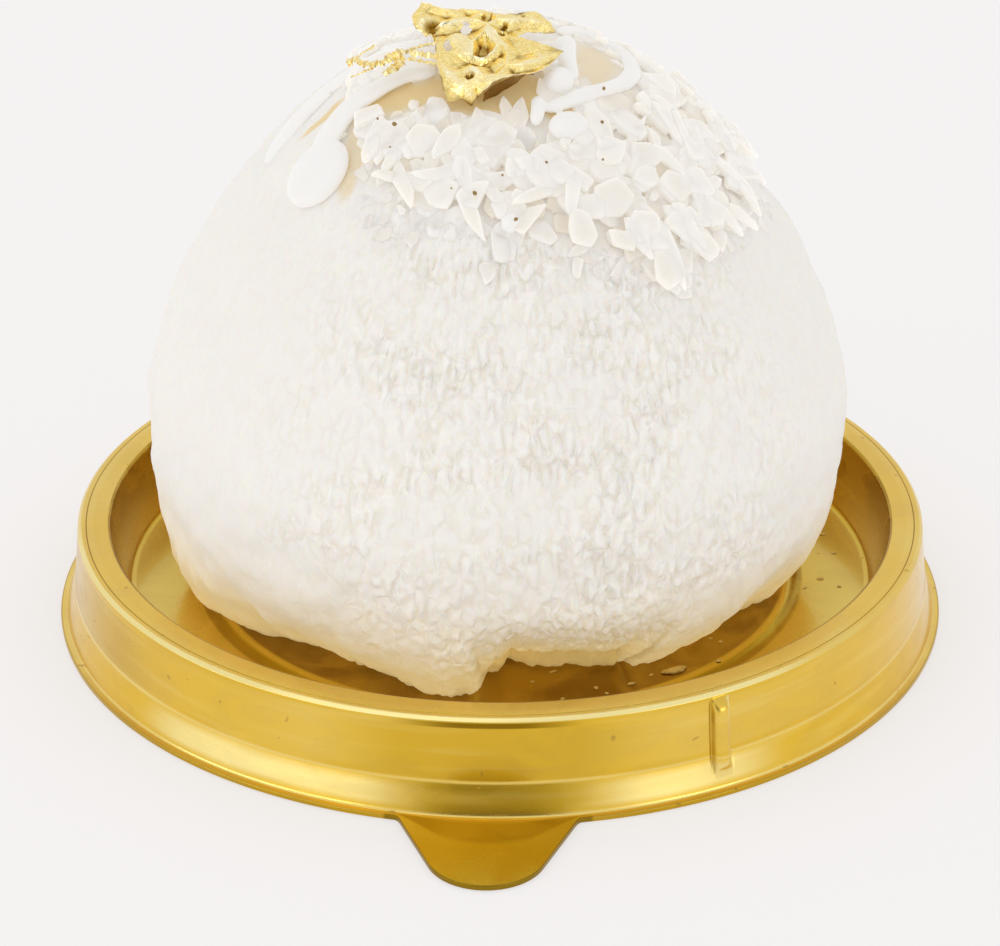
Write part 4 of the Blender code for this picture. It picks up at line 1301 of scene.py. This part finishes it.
# Kinds of flake: share of all flakes up to this kind, then limits of length, width and thickness.
FLAKE_KINDS = (
    (0.5, (3.6, 6.0), (2.8, 4.6), (0.55, 0.9)),
    (0.76, (4.2, 7.0), (1.3, 2.3), (0.5, 0.8)),
    (1.0, (1.6, 3.0), (1.3, 2.2), (0.5, 0.8)),
)

# Layers of flakes from the lowest up: rise in mm, tip in radians, and limits of their painted shade,
# darker for the lower layers.
FLAKE_LAYERS = (
    (0.05, 0.06, 0.3, 0.7), (0.3, 0.12, 0.1, 0.4), (0.55, 0.16, 0, 0.2), (0.8, 0.2, 0, 0.12),
)
FLAKE_TRIES = 9


def flakes_mesh(skin, topping, material):
    """Chips, shreds and bits of coconut in four loose layers, stuck together."""
    rule = random.Random(31)
    points, faces, depth_shade = [], [], []
    for index, (x, y, over, beside) in enumerate(flake_spots(skin, topping.flakes, rule)):
        rise, tip, *shade = FLAKE_LAYERS[index * len(FLAKE_LAYERS) // topping.flakes]
        kind = rule.random()
        edge = over < 1.4 * MM
        scale = 0.5 if over < 0 else 0.75 if edge else 1.0
        limits = next(row[1:] for row in FLAKE_KINDS if kind < row[0])
        size = tuple([rule.uniform(*pair) * scale * MM for pair in limits])
        if edge or beside:
            rise = FLAKE_LAYERS[0][0]
        rise = rise * MM + rule.uniform(-0.1, 0.15) * MM
        if edge:
            rise -= 0.15 * MM
            shade = (0.0, 0.1)
        if beside:
            tip = 0.1
        spin = rule.gauss(0.0, 0.7) if edge else rule.uniform(0.0, math.tau)
        tips = (rule.uniform(-tip, tip), rule.uniform(-tip, tip))
        pose = slope_pose(skin, x, y, rise, spin, *tips)
        count = add_chip(points, faces, pose, size, rule)
        # Painted shade on the chip, from its layer.
        depth_shade += [rule.uniform(*shade)] * count
    for x, y, long, wide, turn in STRIPS:
        pose = slope_pose(skin, x * MM, y * MM, 0.95 * MM, math.radians(turn), 0.0, 0.2)
        size = (long * MM, wide * MM, 0.6 * MM)
        depth_shade += [0.0] * add_chip(points, faces, pose, size, rule, 6, 0.85, taper=0.55)
    return new_object("coconut_flakes", points, faces, material, {"depth_shade": depth_shade})


def ribbon_rings(skin, ribbon):
    """Oval rings along a drizzled ribbon, rounded off at both ends."""
    path = smooth_path([Vector(row) * MM for row in ribbon], 7)
    places = [on_dome(skin, *spot[:3]) for spot in path]
    rings = []
    last = len(places) - 1
    for i, (place, normal) in enumerate(places):
        ahead, behind = places[min(i + 1, last)][0], places[max(i - 1, 0)][0]
        across = (ahead - behind).cross(normal).normalized()
        end = min(i, last - i) / 4
        round_off = math.sqrt(max(0.06, 1 - (1 - min(1.0, end)) ** 2))
        wide, tall = path[i][3] * round_off, RIBBON_HALF_HEIGHT * round_off
        ring = []
        for k in range(RIBBON_SIDES):
            turn = math.tau * k / RIBBON_SIDES
            ring.append(place + across * (wide * math.cos(turn)) + normal * (tall * math.sin(turn)))
        rings.append(ring)
    return rings


def drizzle_mesh(skin, material):
    """The ribbons, the drop and the lumps, melted into one smooth body."""
    points, faces = [], []
    for ribbon in RIBBONS:
        rings = ribbon_rings(skin, ribbon)
        first = len(points)
        points += [spot for ring in rings for spot in ring]
        faces += grid_faces(len(rings), RIBBON_SIDES, first)
        faces.append(tuple(reversed(range(first, first + RIBBON_SIDES))))
        faces.append(tuple(range(len(points) - RIBBON_SIDES, len(points))))
    for x, y, *half in LUMPS:
        pose = slope_pose(skin, x * MM, y * MM, half[2] * 0.45 * MM, 0.0)
        first = len(points)
        for polar in (math.pi * row / LUMP_ROWS for row in range(1, LUMP_ROWS)):
            for turn in (math.tau * column / LUMP_COLUMNS for column in range(LUMP_COLUMNS)):
                flat = math.sin(polar)
                spot = Vector((flat * math.cos(turn), flat * math.sin(turn), math.cos(polar)))
                points.append(pose @ (spot * Vector(half) * MM))
        end = len(points)
        points += [pose @ Vector((0.0, 0.0, side * half[2] * MM)) for side in (1, -1)]
        rows = grid_faces(LUMP_ROWS - 1, LUMP_COLUMNS, first)
        faces += [tuple(reversed(face)) for face in rows]
        faces += fan_faces(end, list(range(first, first + LUMP_COLUMNS)))
        faces += fan_faces(end + 1, list(range(end - LUMP_COLUMNS, end)), flip=True)
    return melted("cream_drizzle", points, faces, material, MELT_GRAIN, MELT_TURNS)


# Brown specks on the flakes: plan places from the skin's axis and half sizes.
SPECKS = (
    (-8.5, -13, 0.22), (-10, -11.8, 0.12), (-8.8, -15, 0.1), (-1.4, -20, 0.22),
    (0.9, -18.7, 0.12), (2.1, -21.7, 0.2), (4.6, -17.3, 0.13), (9.4, -8.5, 0.17),
    (9.3, -12.3, 0.15), (9.4, -15.7, 0.12), (-3.4, -19.5, 0.1),
)

# Crumbs in the tray: place from the tray's axis, half size and how much longer than wide.
CRUMBS = (
    (17.3, -22, 1, 2.6), (9.8, -25.4, 0.3, 1.4), (6.6, -27.5, 0.28, 1.5),
    (13.2, -24.5, 0.36, 1.7), (10.8, -26.4, 0.24, 1.2), (5.7, -22.4, 0.34, 2.2),
    (3.7, -24.4, 0.22, 1.4), (15.1, -22.8, 0.26, 1.6), (19.6, -22.7, 0.32, 1.3),
    (21.7, -19.9, 0.3, 1.4), (21.1, -15.6, 0.24, 1.1), (22, -16.2, 0.26, 1.3),
    (34.6, 3.6, 0.3, 1.5), (33.7, 7.8, 0.34, 1.6), (31.1, -4, 0.26, 1.4), (32.8, -2.1, 0.34, 1.7),
    (34.6, -3.7, 0.26, 1.2), (-30, 18, 0.3, 1.5), (12, 33, 0.34, 1.8), (-8, 34.5, 0.26, 1.3),
    (25, 24, 0.3, 1.5),
)


def specks_mesh(skin, material):
    """Tiny brown bits of coconut husk."""
    rule = random.Random(7)
    points, faces = [], []
    for x, y, half in SPECKS:
        pose = slope_pose(skin, x * MM, y * MM, 1.75 * MM, rule.uniform(0.0, math.tau))
        size = tuple(half * MM * side for side in (2.3, 1.7, 1.5))
        add_chip(points, faces, pose, size, rule, 6, 0.85)
    return new_object("husk_specks", points, faces, material)


def crumbs_mesh(tray, material):
    """Crumbs and one long flake that lie on the tray's floor."""
    rule = random.Random(19)
    points, faces = [], []
    for x, y, half, aspect in CRUMBS:
        radius = math.hypot(x, y) * MM
        floor = tray.disc_height if radius < tray.disc_radius else tray.floor_height
        place = TRAY_AXIS + Vector((x * MM, y * MM, floor + half * 0.12 * MM))
        spin = Matrix.Rotation(rule.uniform(0.0, math.tau) if half < 0.9 else 0.45, 4, "Z")
        size = (2 * half * MM * aspect**0.5, 2 * half * MM / aspect**0.5, half * 0.28 * MM)
        add_chip(points, faces, Matrix.Translation(place) @ spin, size, rule, 6, 0.85)
    return new_object("tray_crumbs", points, faces, material)


# --- gold leaf ---

# Corners of the leaf's folds: u to the right and v up its slope from its middle, and rise.
LEAF_EDGE = (
    (-5, 6.7, 0.9), (-5.9, 6.9, 1), (-6.8, 5.1, 0.7), (-6.6, 4.2, 0.5), (-5.3, 3, 0.2),
    (-4.9, 3.1, 0.5), (-4.5, 2, 0.4), (-4.2, -0.9, 0.9), (-3.9, -2.1, 0.7), (-3.5, -3.9, 0.3),
    (-3.1, -5.1, 0), (-1.8, -4.7, 0.1), (-0.9, -5.3, -0.2), (-0.4, -4.7, 0.4), (0.2, -4.6, 1.2),
    (1.5, -3.6, 1.7), (3, -3.1, 1.7), (4.2, -2.8, 1.5), (5.4, -1.9, 1.1), (6.7, 0, 0.6),
    (7.4, 1.4, 0.3), (5.7, 1.9, 0.5), (4.2, 2.4, 0.6), (3.1, 2.9, 0.6), (3.9, 3.5, 0.5),
    (5.4, 3.5, 0.4), (6.7, 3.6, 0.3), (6.2, 4.6, 0.5), (5.7, 5.2, 0.6), (4.7, 5.9, 0.8),
    (3.2, 6, 0.5), (1.9, 5.5, 0.9), (0.7, 5.9, 0.6), (-0.1, 5.9, 1), (-2.1, 6.2, 0.8),
    (-3.7, 5.9, 1.1),
)
LEAF_FOLDS = (
    (-0.3, 1.7, 0.3), (0.35, 1.4, 0.35), (-0.4, 0.7, 0.25), (0.3, 0.5, 0.4), (-2.7, 0.1, 1),
    (-2.1, -1.3, 0.75), (-3, -3.7, 0.4), (-2.2, -4.3, 0.3), (0.6, -1.2, 0.6), (1, -2.2, 0.9),
    (0.5, 5.1, 0.4), (1.6, 3.7, 0.5), (2.4, 2.3, 0.7), (4.3, 0.5, 0.7), (-5.4, 5.8, 0.7),
    (-3.6, 5.1, 0.6), (-1.6, 5.5, 0.5),
)

# Creases that the leaf folds along.
LEAF_CREASES = (
    ((-6.2, 5.2, 0.9), (-5.1, 3.9, 1.1), (-3.1, 4.1, 1.25), (-0.84, 4.5, 1.2),
      (0.25, 3.9, 1.3), (1.1, 2.8, 1.4)),
    ((1.1, 2.8, 1.5), (1.8, 1.3, 1.35), (2.2, 0.2, 1.3), (2.1, -1.4, 1.3), (1.5, -2.9, 1.6)),
    ((-4.7, 3.1, 0.3), (-3.2, 3.1, 0.45), (-1.8, 3.3, 0.6), (-0.5, 3.5, 0.8)),
    ((-4.1, 1.9, 0.9), (-2.6, 2.6, 1.2), (-0.95, 1.65, 1.35), (0.12, 2.75, 1.4), (1.2, 1.1, 1.3)),
    ((1.2, 1.1, 1.3), (0.85, 0.3, 1.25), (-0.2, -0.5, 1.2), (-0.95, -0.25, 1.2),
      (-0.95, 1.65, 1.35)),
    ((2.1, -1.4, 1.3), (3.6, -1.5, 1.5), (5.3, -0.5, 1.3), (6.7, 0.7, 0.7)),
    ((3, -2.3, 0.9), (4.4, -1.9, 1), (5.7, -0.9, 0.8)),
    ((3.4, 0.1, 0.8), (5, 0.9, 0.8), (6.1, 1.2, 0.5)),
    ((-4.1, -0.8, 1), (-3.2, -2.4, 1.25), (-1.7, -3.9, 1.1), (-1.1, -4.9, 0.9)),
    ((-2, -1.9, 1), (-0.8, -1.8, 1.4), (-0.1, -2.8, 1.4), (-0.6, -4, 1.2)),
    ((-1.3, -0.7, 0.6), (-0.3, -1.1, 0.5), (0.9, -0.4, 0.6), (1.7, 0.2, 0.8)),
    ((1.2, 4.7, 1.1), (2.7, 4.5, 1.1), (4.3, 4.7, 1), (5.6, 4.4, 0.8)),
    ((2.2, 3.5, 0.5), (3.3, 3.9, 0.5), (5, 3.9, 0.5)),
    ((-2.4, 5, 1), (-1.2, 5, 0.9), (0.4, 4.5, 0.7)),
)

# Holes: place and radius.
LEAF_HOLES = (
    (-1.7, 3.5, 0.34), (-3.3, 1.3, 0.4),
)

# The edge turned under at the front: places and rise.
UNDERSIDE = (
    (0.1, -4.3, -0.6), (0.2, -4.4, 0.6), (1.5, -3.5, 1.2), (3, -3, 1.3), (4.8, -2.2, 1),
    (4, -1.4, 0), (2.8, -2.3, -0.5), (1.3, -3.2, -0.8),
)

# The loose strand and its twigs: places, rise and half width.
STRAND = (
    (-4.2, 0.1, 0.8, 0.3), (-5.9, 0.1, 1, 0.3), (-7.3, 0.6, 0.8, 0.36), (-8.3, 0.1, 0.7, 0.6),
    (-9.2, -0.5, 0.5, 0.3), (-10, -0.5, 0.3, 0.34), (-11, -0.2, 0, 0.4), (-12, 0.5, -0.2, 0.3),
    (-12.6, 0.2, -0.5, 0.45),
)
TWIGS = (
    ((-7.4, 0, 0.7, 0.3), (-7.9, -0.8, 0.4, 0.5), (-9.1, -1.7, 0.1, 0.25)),
    ((-11.8, 0.7, -0.2, 0.12), (-11, 1.3, 0.1, 0.1), (-10.1, 1.7, 0.4, 0.16)),
    ((-12.2, -1.4, -0.6, 0.07), (-11.1, -1, -0.3, 0.1), (-10.1, -0.6, 0, 0.12)),
    ((-7.3, 0.6, 0.8, 0.2), (-5.8, 1.2, 0.9, 0.12), (-4.3, 1.8, 0.8, 0.12)),
    ((-4.3, -0.9, 0.8, 0.2), (-5.6, -0.7, 0.9, 0.15), (-6.9, -0.2, 0.8, 0.2)),
)

# Dents, painted with shade: place, radius and depth.
LEAF_PITS = (
    (-1.15, -2.75, 0.38, 0.6), (1.9, 4, 0.26, 0.4), (1.6, 2.8, 0.3, 0.5), (3.6, 5.3, 0.16, 0.3),
    (-4.9, 4, 0.7, 0.6), (0, 0.2, 0.5, 0.4), (-0.1, 5.3, 0.2, 0.3),
)


# Rounds of smoothing after which the leaf's height is compared with itself, to paint its shade and
# highlights.
SOFT_TURNS = (8, 59)
LEAF_SEED = 12


def leaf_pose(skin, leaf):
    """Where the leaf lies: on the crown, sloping down to the front."""
    base, _normal = on_dome(skin, *LEAF_PLACE)
    turn = Matrix.Rotation(leaf.slope, 4, "X")
    return Matrix.Translation(base + Vector((0.0, 0.0, LEAF_LIFT))) @ turn


def folded_sheet(edge, folds, creases, cuts):
    """A bmesh of flat facets between creases, cut finely and kept inside the torn edge."""
    corners = [Vector(corner) * MM for corner in edge + folds]
    ring = [(i, (i + 1) % len(edge)) for i in range(len(edge))]
    for crease in creases:
        first = len(corners)
        corners += [Vector(corner) * MM for corner in crease]
        ring += [(i, i + 1) for i in range(first, len(corners) - 1)]
    flat = [corner.to_2d() for corner in corners]
    found = geometry.delaunay_2d_cdt(flat, ring, [], 1, 1e-9)
    sheet = bmesh.new()
    points = []
    for spot in found[0]:
        nearest = min(corners, key=lambda corner: (corner.to_2d() - spot).length)
        points.append(sheet.verts.new((spot.x, spot.y, nearest.z)))
    for face in found[2]:
        sheet.faces.new([points[i] for i in face])
    bmesh.ops.subdivide_edges(sheet, edges=sheet.edges, cuts=cuts, use_grid_fill=True)
    return sheet


def crumpled(spot, depth):
    """Sharp-edged crumpling: folded noise at three sizes."""
    rise = 0.0
    for pitch, part in ((2.1 * MM, 1.0), (0.95 * MM, 0.5), (0.45 * MM, 0.25)):
        rise += part * (0.5 - 2 * abs(noise.noise(Vector((spot.x, spot.y, 7 * MM)) / pitch)))
    return rise * depth


def leaf_layers(sheet):
    """The two values that the leaf's finish reads: painted shade in its hollows and a painted
    highlight on its ridges.
    """
    return [sheet.verts.layers.float.new(name) for name in ("hollow", "ridge_highlight")]


def softened(height, ends, turns):
    """Heights of the sheet's points after rounds of averaging along its edges, at some rounds."""
    meets = np.bincount(ends.ravel(), minlength=len(height))
    levels = []
    for turn in range(max(turns) + 1):
        total = np.bincount(ends[:, 0], height[ends[:, 1]], len(height))
        height = (total + np.bincount(ends[:, 1], height[ends[:, 0]], len(height))) / meets
        if turn in turns:
            levels.append(height)
    return levels


def torn_away(spot, holes):
    """Whether a place lies in one of the leaf's ragged holes."""
    ragged_reach = 1 + 1.1 * noise.noise(spot / (0.4 * MM))
    return any(
        math.hypot(spot.x - u * MM, spot.y - v * MM) < radius * MM * ragged_reach
        for u, v, radius in holes
    )


def leaf_sheet(outline, folds, creases, cuts, depth, holes, depth_shade=0.0):
    """The crumpled sheet, with painted shade in its hollows and dents and painted highlights on its
    ridges and torn edge.
    """
    sheet = folded_sheet(outline, folds, creases, cuts)
    hollow, ridge_highlight = leaf_layers(sheet)
    noise.seed_set(LEAF_SEED)
    sheet.verts.index_update()
    pits = {}
    for vertex in sheet.verts:
        vertex.co.z += crumpled(vertex.co, depth)
        for u, v, radius, drop in LEAF_PITS if holes else ():
            gap = math.hypot(vertex.co.x - u * MM, vertex.co.y - v * MM) / (radius * MM)
            if gap < 1.6:
                pits[vertex] = math.exp(-(gap**4))
                vertex.co.z -= drop * MM * pits[vertex]
    ends = np.array([[vertex.index for vertex in edge.verts] for edge in sheet.edges])
    height = np.array([vertex.co.z for vertex in sheet.verts])
    near, far = softened(height, ends, SOFT_TURNS)
    for vertex in sheet.verts:
        bend = (near[vertex.index] - vertex.co.z) / (0.16 * MM)
        broad = (far[vertex.index] - vertex.co.z) / (0.34 * MM)
        low = max(depth_shade, 1.3 * bend - 0.3, 0.8 * broad - 0.25, pits.get(vertex, 0.0))
        vertex[hollow] = min(1.0, low)
        vertex[ridge_highlight] = min(1.0, max(0.0, -bend - 0.35, -0.8 * broad - 0.2))
        if vertex.is_boundary:
            # Painted highlight along the torn edge.
            vertex[ridge_highlight] = 0.7 * (1 - depth_shade)
            shake = noise.noise_vector(vertex.co / (0.6 * MM)) * 0.16 * MM
            vertex.co += Vector((shake.x, shake.y, 0.0))
    torn = [vertex for vertex in sheet.verts if torn_away(vertex.co, holes)]
    bmesh.ops.delete(sheet, geom=torn, context="VERTS")
    return sheet


def strand_sheets(sheet):
    """The torn strand beside the leaf, with clumps, twigs and fine threads."""
    rule = random.Random(5)
    hollow, ridge_highlight = leaf_layers(sheet)
    for route in (STRAND, *TWIGS):
        path = smooth_path([Vector(row) * MM for row in route], 7)
        sides = []
        for i, spot in enumerate(path):
            ahead, behind = path[min(i + 1, len(path) - 1)], path[max(i - 1, 0)]
            run = Vector((ahead[0] - behind[0], ahead[1] - behind[1])).normalized()
            half = spot[3] * rule.uniform(0.7, 1.3)
            rise = spot[2] + rule.uniform(-0.1, 0.1) * MM
            tip = rule.uniform(-0.5, 0.5) * half
            middle = rule.uniform(0.2, 0.8) * half
            row = []
            for out, up in ((1, tip), (0, middle), (-1, -tip)):
                place = (spot[0] - out * run.y * half, spot[1] + out * run.x * half, rise + up)
                row.append(sheet.verts.new(place))
                # Painted shade and highlights at random along the strand.
                row[-1][hollow] = max(0.0, rule.uniform(-1.2, 0.6))
                row[-1][ridge_highlight] = max(0.0, rule.uniform(-0.6, 0.8))
            sides.append(row)
        for low, high in zip(sides, sides[1:]):
            for k in range(2):
                sheet.faces.new((low[k], low[k + 1], high[k + 1], high[k]))


def leaf_piece(name, sheet, skin, leaf, material):
    """Turns a crumpled sheet into a thin closed piece that lies on the crown."""
    sheet.transform(leaf_pose(skin, leaf))
    mesh = bpy.data.meshes.new(name)
    sheet.to_mesh(mesh)
    sheet.free()
    mesh.materials.append(material)
    item = linked(name, mesh)
    thick = item.modifiers.new("thickness", "SOLIDIFY")
    thick.thickness, thick.offset = leaf.thickness, 0.0
    solid = applied(item)
    item.modifiers.clear()
    item.data = solid
    return item


# --- stage ---


def make_camera(stage):
    """The camera, on its target from the stage's azimuth and elevation."""
    turn, rise = stage.azimuth, stage.elevation
    flat = math.cos(rise)
    back = Vector((math.sin(turn) * flat, -math.cos(turn) * flat, math.sin(rise)))
    data = bpy.data.cameras.new("camera")
    data.lens, data.sensor_width, data.clip_start = stage.lens, 36.0, 0.01
    camera = linked("camera", data)
    camera.location = Vector(stage.target) + back * stage.distance
    camera.rotation_mode = "QUATERNION"
    camera.rotation_quaternion = (-back).to_track_quat("-Z", "Y")
    bpy.context.scene.camera = camera


# Soft lights: name, azimuth, elevation, distance, width, height and power.
PANEL_LIGHTS = (
    ("top_light", -40.0, 58.0, 0.9, 0.7, 0.7, 0.4),
    ("left_light", -56.0, 6.0, 0.9, 0.84, 0.09, 0.66),
    ("right_light", 47.0, 6.0, 0.9, 0.44, 0.09, 0.36),
)

# The dark card behind the camera: rows of radius and height, its first azimuth and its pitch.
CARD_ROWS = ((0.75, 0.0), (0.82, 0.16), (0.95, 0.3))
CARD_START, CARD_PITCH, CARD_SPANS = -16.0, 4.0, 8


def add_panel_light(name, azimuth, elevation, distance, width, height, power):
    """A square soft light that faces the mochi from an azimuth and an elevation."""
    data = bpy.data.lights.new(name, "AREA")
    data.shape, data.energy = "RECTANGLE", power
    data.size, data.size_y = width, height
    light = linked(name, data)
    rise = math.radians(elevation)
    spot = around(azimuth, distance * math.cos(rise), distance * math.sin(rise))
    light.location = spot + Vector((0.0, 0.0, 0.03))
    light.rotation_mode = "QUATERNION"
    light.rotation_quaternion = (-spot).to_track_quat("-Z", "Y")


def make_floor(stage):
    """The pale floor, a little under the tray."""
    finish = Finish("pale_floor")
    cloud = finish.noise(240.0, 1.0)
    tone = tuple(stage.floor_tone)
    finish.surface(
        Base_Color=finish.mix(cloud * 0.2, tone, tuple(side * 0.97 for side in tone)),
        Roughness=0.9,
        Specular_IOR_Level=0.0,
        Emission_Color=tuple(stage.floor_glow),
        Emission_Strength=1.0,
    )
    half = stage.floor_size / 2
    spots = [(x * half, y * half, -0.05 * MM) for x, y in ((-1, -1), (1, -1), (1, 1), (-1, 1))]
    floor = new_object("floor", spots, [(0, 1, 2, 3)], finish.material)


def make_front_card():
    """A bent dark card behind the camera, which the metal mirrors as the room's darker side."""
    points, faces = [], []
    for k in range(CARD_SPANS + 1):
        points += [around(CARD_START + CARD_PITCH * k, *row) for row in CARD_ROWS]
    for low in (3 * k + row for k in range(CARD_SPANS) for row in range(2)):
        faces.append((low, low + 3, low + 4, low + 1))
    finish = Finish("dark_card")
    cloth = finish.mix(finish.noise(60.0, 2.0), (0.12, 0.11, 0.1), (0.16, 0.15, 0.14))
    card = new_object("front_card", points, faces, finish.surface(Base_Color=cloth, Roughness=0.9))
    card.visible_camera = False


def make_world(stage):
    """Even white light, and plain view settings."""
    world = bpy.data.worlds.new("studio")
    world.use_nodes = True
    back = world.node_tree.nodes["Background"]
    back.inputs["Color"].default_value = (1.0, 0.992, 0.985, 1.0)
    back.inputs["Strength"].default_value = stage.ambient
    scene = bpy.context.scene
    scene.world = world
    scene.view_settings.view_transform = "Standard"
    scene.view_settings.look = "None"


# --- operators ---


class BuildStep:
    """What the operators share: each builds from the scene's settings."""

    def execute(self, context):
        self.build(context.scene)
        return {"FINISHED"}


class MOCHI_OT_stage(BuildStep, bpy.types.Operator):
    """Adds the camera, the pale floor and the soft studio light"""

    bl_idname = "mochi.stage"
    bl_label = "Stage"

    def build(self, scene):
        stage = scene.mochi_stage
        make_camera(stage)
        make_floor(stage)
        make_world(stage)
        make_front_card()
        for row in PANEL_LIGHTS:
            add_panel_light(*row)


class MOCHI_OT_tray(BuildStep, bpy.types.Operator):
    """Builds the formed gold tray with its rim, step, bead and pull tab"""

    bl_idname = "mochi.tray"
    bl_label = "Gold tray"

    def build(self, scene):
        tray = scene.mochi_tray
        dress(tray_mesh(tray, gold_film(tray)), "tray")


class MOCHI_OT_skin(BuildStep, bpy.types.Operator):
    """Builds the rice skin with its wrinkles, folds and torn hem"""

    bl_idname = "mochi.skin"
    bl_label = "Rice skin"

    def build(self, scene):
        skin = scene.mochi_skin
        dress(skin_mesh(skin, rice_skin(skin)), "mochi")


class MOCHI_OT_flakes(BuildStep, bpy.types.Operator):
    """Scatters coconut flakes and husk specks over the crown"""

    bl_idname = "mochi.flakes"
    bl_label = "Coconut flakes"

    def build(self, scene):
        skin, topping = scene.mochi_skin, scene.mochi_topping
        flakes = flakes_mesh(skin, topping, coconut(topping))
        dress(flakes, "mochi")
        husk = plain_food("husk", topping.speck, (0.42, 0.27, 0.1), 0.2, 0.6)
        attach(specks_mesh(skin, husk), BODY)


class MOCHI_OT_drizzle(BuildStep, bpy.types.Operator):
    """Pours the cream drizzle with its drop, loop and lumps"""

    bl_idname = "mochi.drizzle"
    bl_label = "Cream drizzle"

    def build(self, scene):
        skin, topping = scene.mochi_skin, scene.mochi_topping
        dress(drizzle_mesh(skin, cream(topping)), "mochi")


class MOCHI_OT_leaf(BuildStep, bpy.types.Operator):
    """Lays the crumpled gold leaf and its torn strand on the crown"""

    bl_idname = "mochi.leaf"
    bl_label = "Gold leaf"

    def build(self, scene):
        skin, leaf = scene.mochi_skin, scene.mochi_leaf
        gold = leaf_gold(leaf)
        main = leaf_sheet(LEAF_EDGE, LEAF_FOLDS, LEAF_CREASES, 6, leaf.crumple, LEAF_HOLES)
        # The turned-under edge is painted in deep shade.
        under = leaf_sheet(UNDERSIDE, (), (), 7, leaf.crumple, (), depth_shade=0.95)
        strand = bmesh.new()
        strand_sheets(strand)
        for name, sheet in (("sheet", main), ("under", under), ("strand", strand)):
            item = leaf_piece("gold_leaf_" + name, sheet, skin, leaf, gold)
            dress(item, "gold_leaf")


class MOCHI_OT_crumbs(BuildStep, bpy.types.Operator):
    """Drops crumbs of coconut on the tray's floor"""

    bl_idname = "mochi.crumbs"
    bl_label = "Crumbs"

    def build(self, scene):
        tray, topping = scene.mochi_tray, scene.mochi_topping
        crumb = plain_food("crumb", topping.crumb, (0.52, 0.35, 0.07), 0.4, 0.55)
        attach(crumbs_mesh(tray, crumb), BODY)


class MOCHI_PT_panel(bpy.types.Panel):
    """Lists the steps that build the mochi"""

    bl_idname = "MOCHI_PT_panel"
    bl_label = "Mochi on a tray"
    bl_space_type = "VIEW_3D"
    bl_region_type = "UI"
    bl_category = "Mochi"

    def draw(self, context):
        for settings in SETTINGS:
            box = self.layout.box()
            group = getattr(context.scene, settings)
            for name in type(group).__annotations__:
                box.prop(group, name, text=name.replace("_", " ").capitalize())
        for step_class in STEPS:
            self.layout.operator(step_class.bl_idname)


SETTINGS = {
    "mochi_stage": StageSettings,
    "mochi_tray": TraySettings,
    "mochi_skin": SkinSettings,
    "mochi_topping": ToppingSettings,
    "mochi_leaf": LeafSettings,
}
STEPS = (
    MOCHI_OT_stage,
    MOCHI_OT_tray,
    MOCHI_OT_skin,
    MOCHI_OT_flakes,
    MOCHI_OT_drizzle,
    MOCHI_OT_leaf,
    MOCHI_OT_crumbs,
)


def register():
    for name, group in SETTINGS.items():
        bpy.utils.register_class(group)
        setattr(bpy.types.Scene, name, PointerProperty(type=group))
    for step_class in STEPS:
        bpy.utils.register_class(step_class)
    bpy.utils.register_class(MOCHI_PT_panel)


def unregister():
    bpy.utils.unregister_class(MOCHI_PT_panel)
    for step_class in reversed(STEPS):
        bpy.utils.unregister_class(step_class)
    for name, group in reversed(SETTINGS.items()):
        delattr(bpy.types.Scene, name)
        bpy.utils.unregister_class(group)


def main():
    register()
    for name in ("stage", "tray", "skin", "flakes", "drizzle", "leaf", "crumbs"):
        getattr(bpy.ops.mochi, name)()
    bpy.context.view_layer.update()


if __name__ == "__main__":
    main()
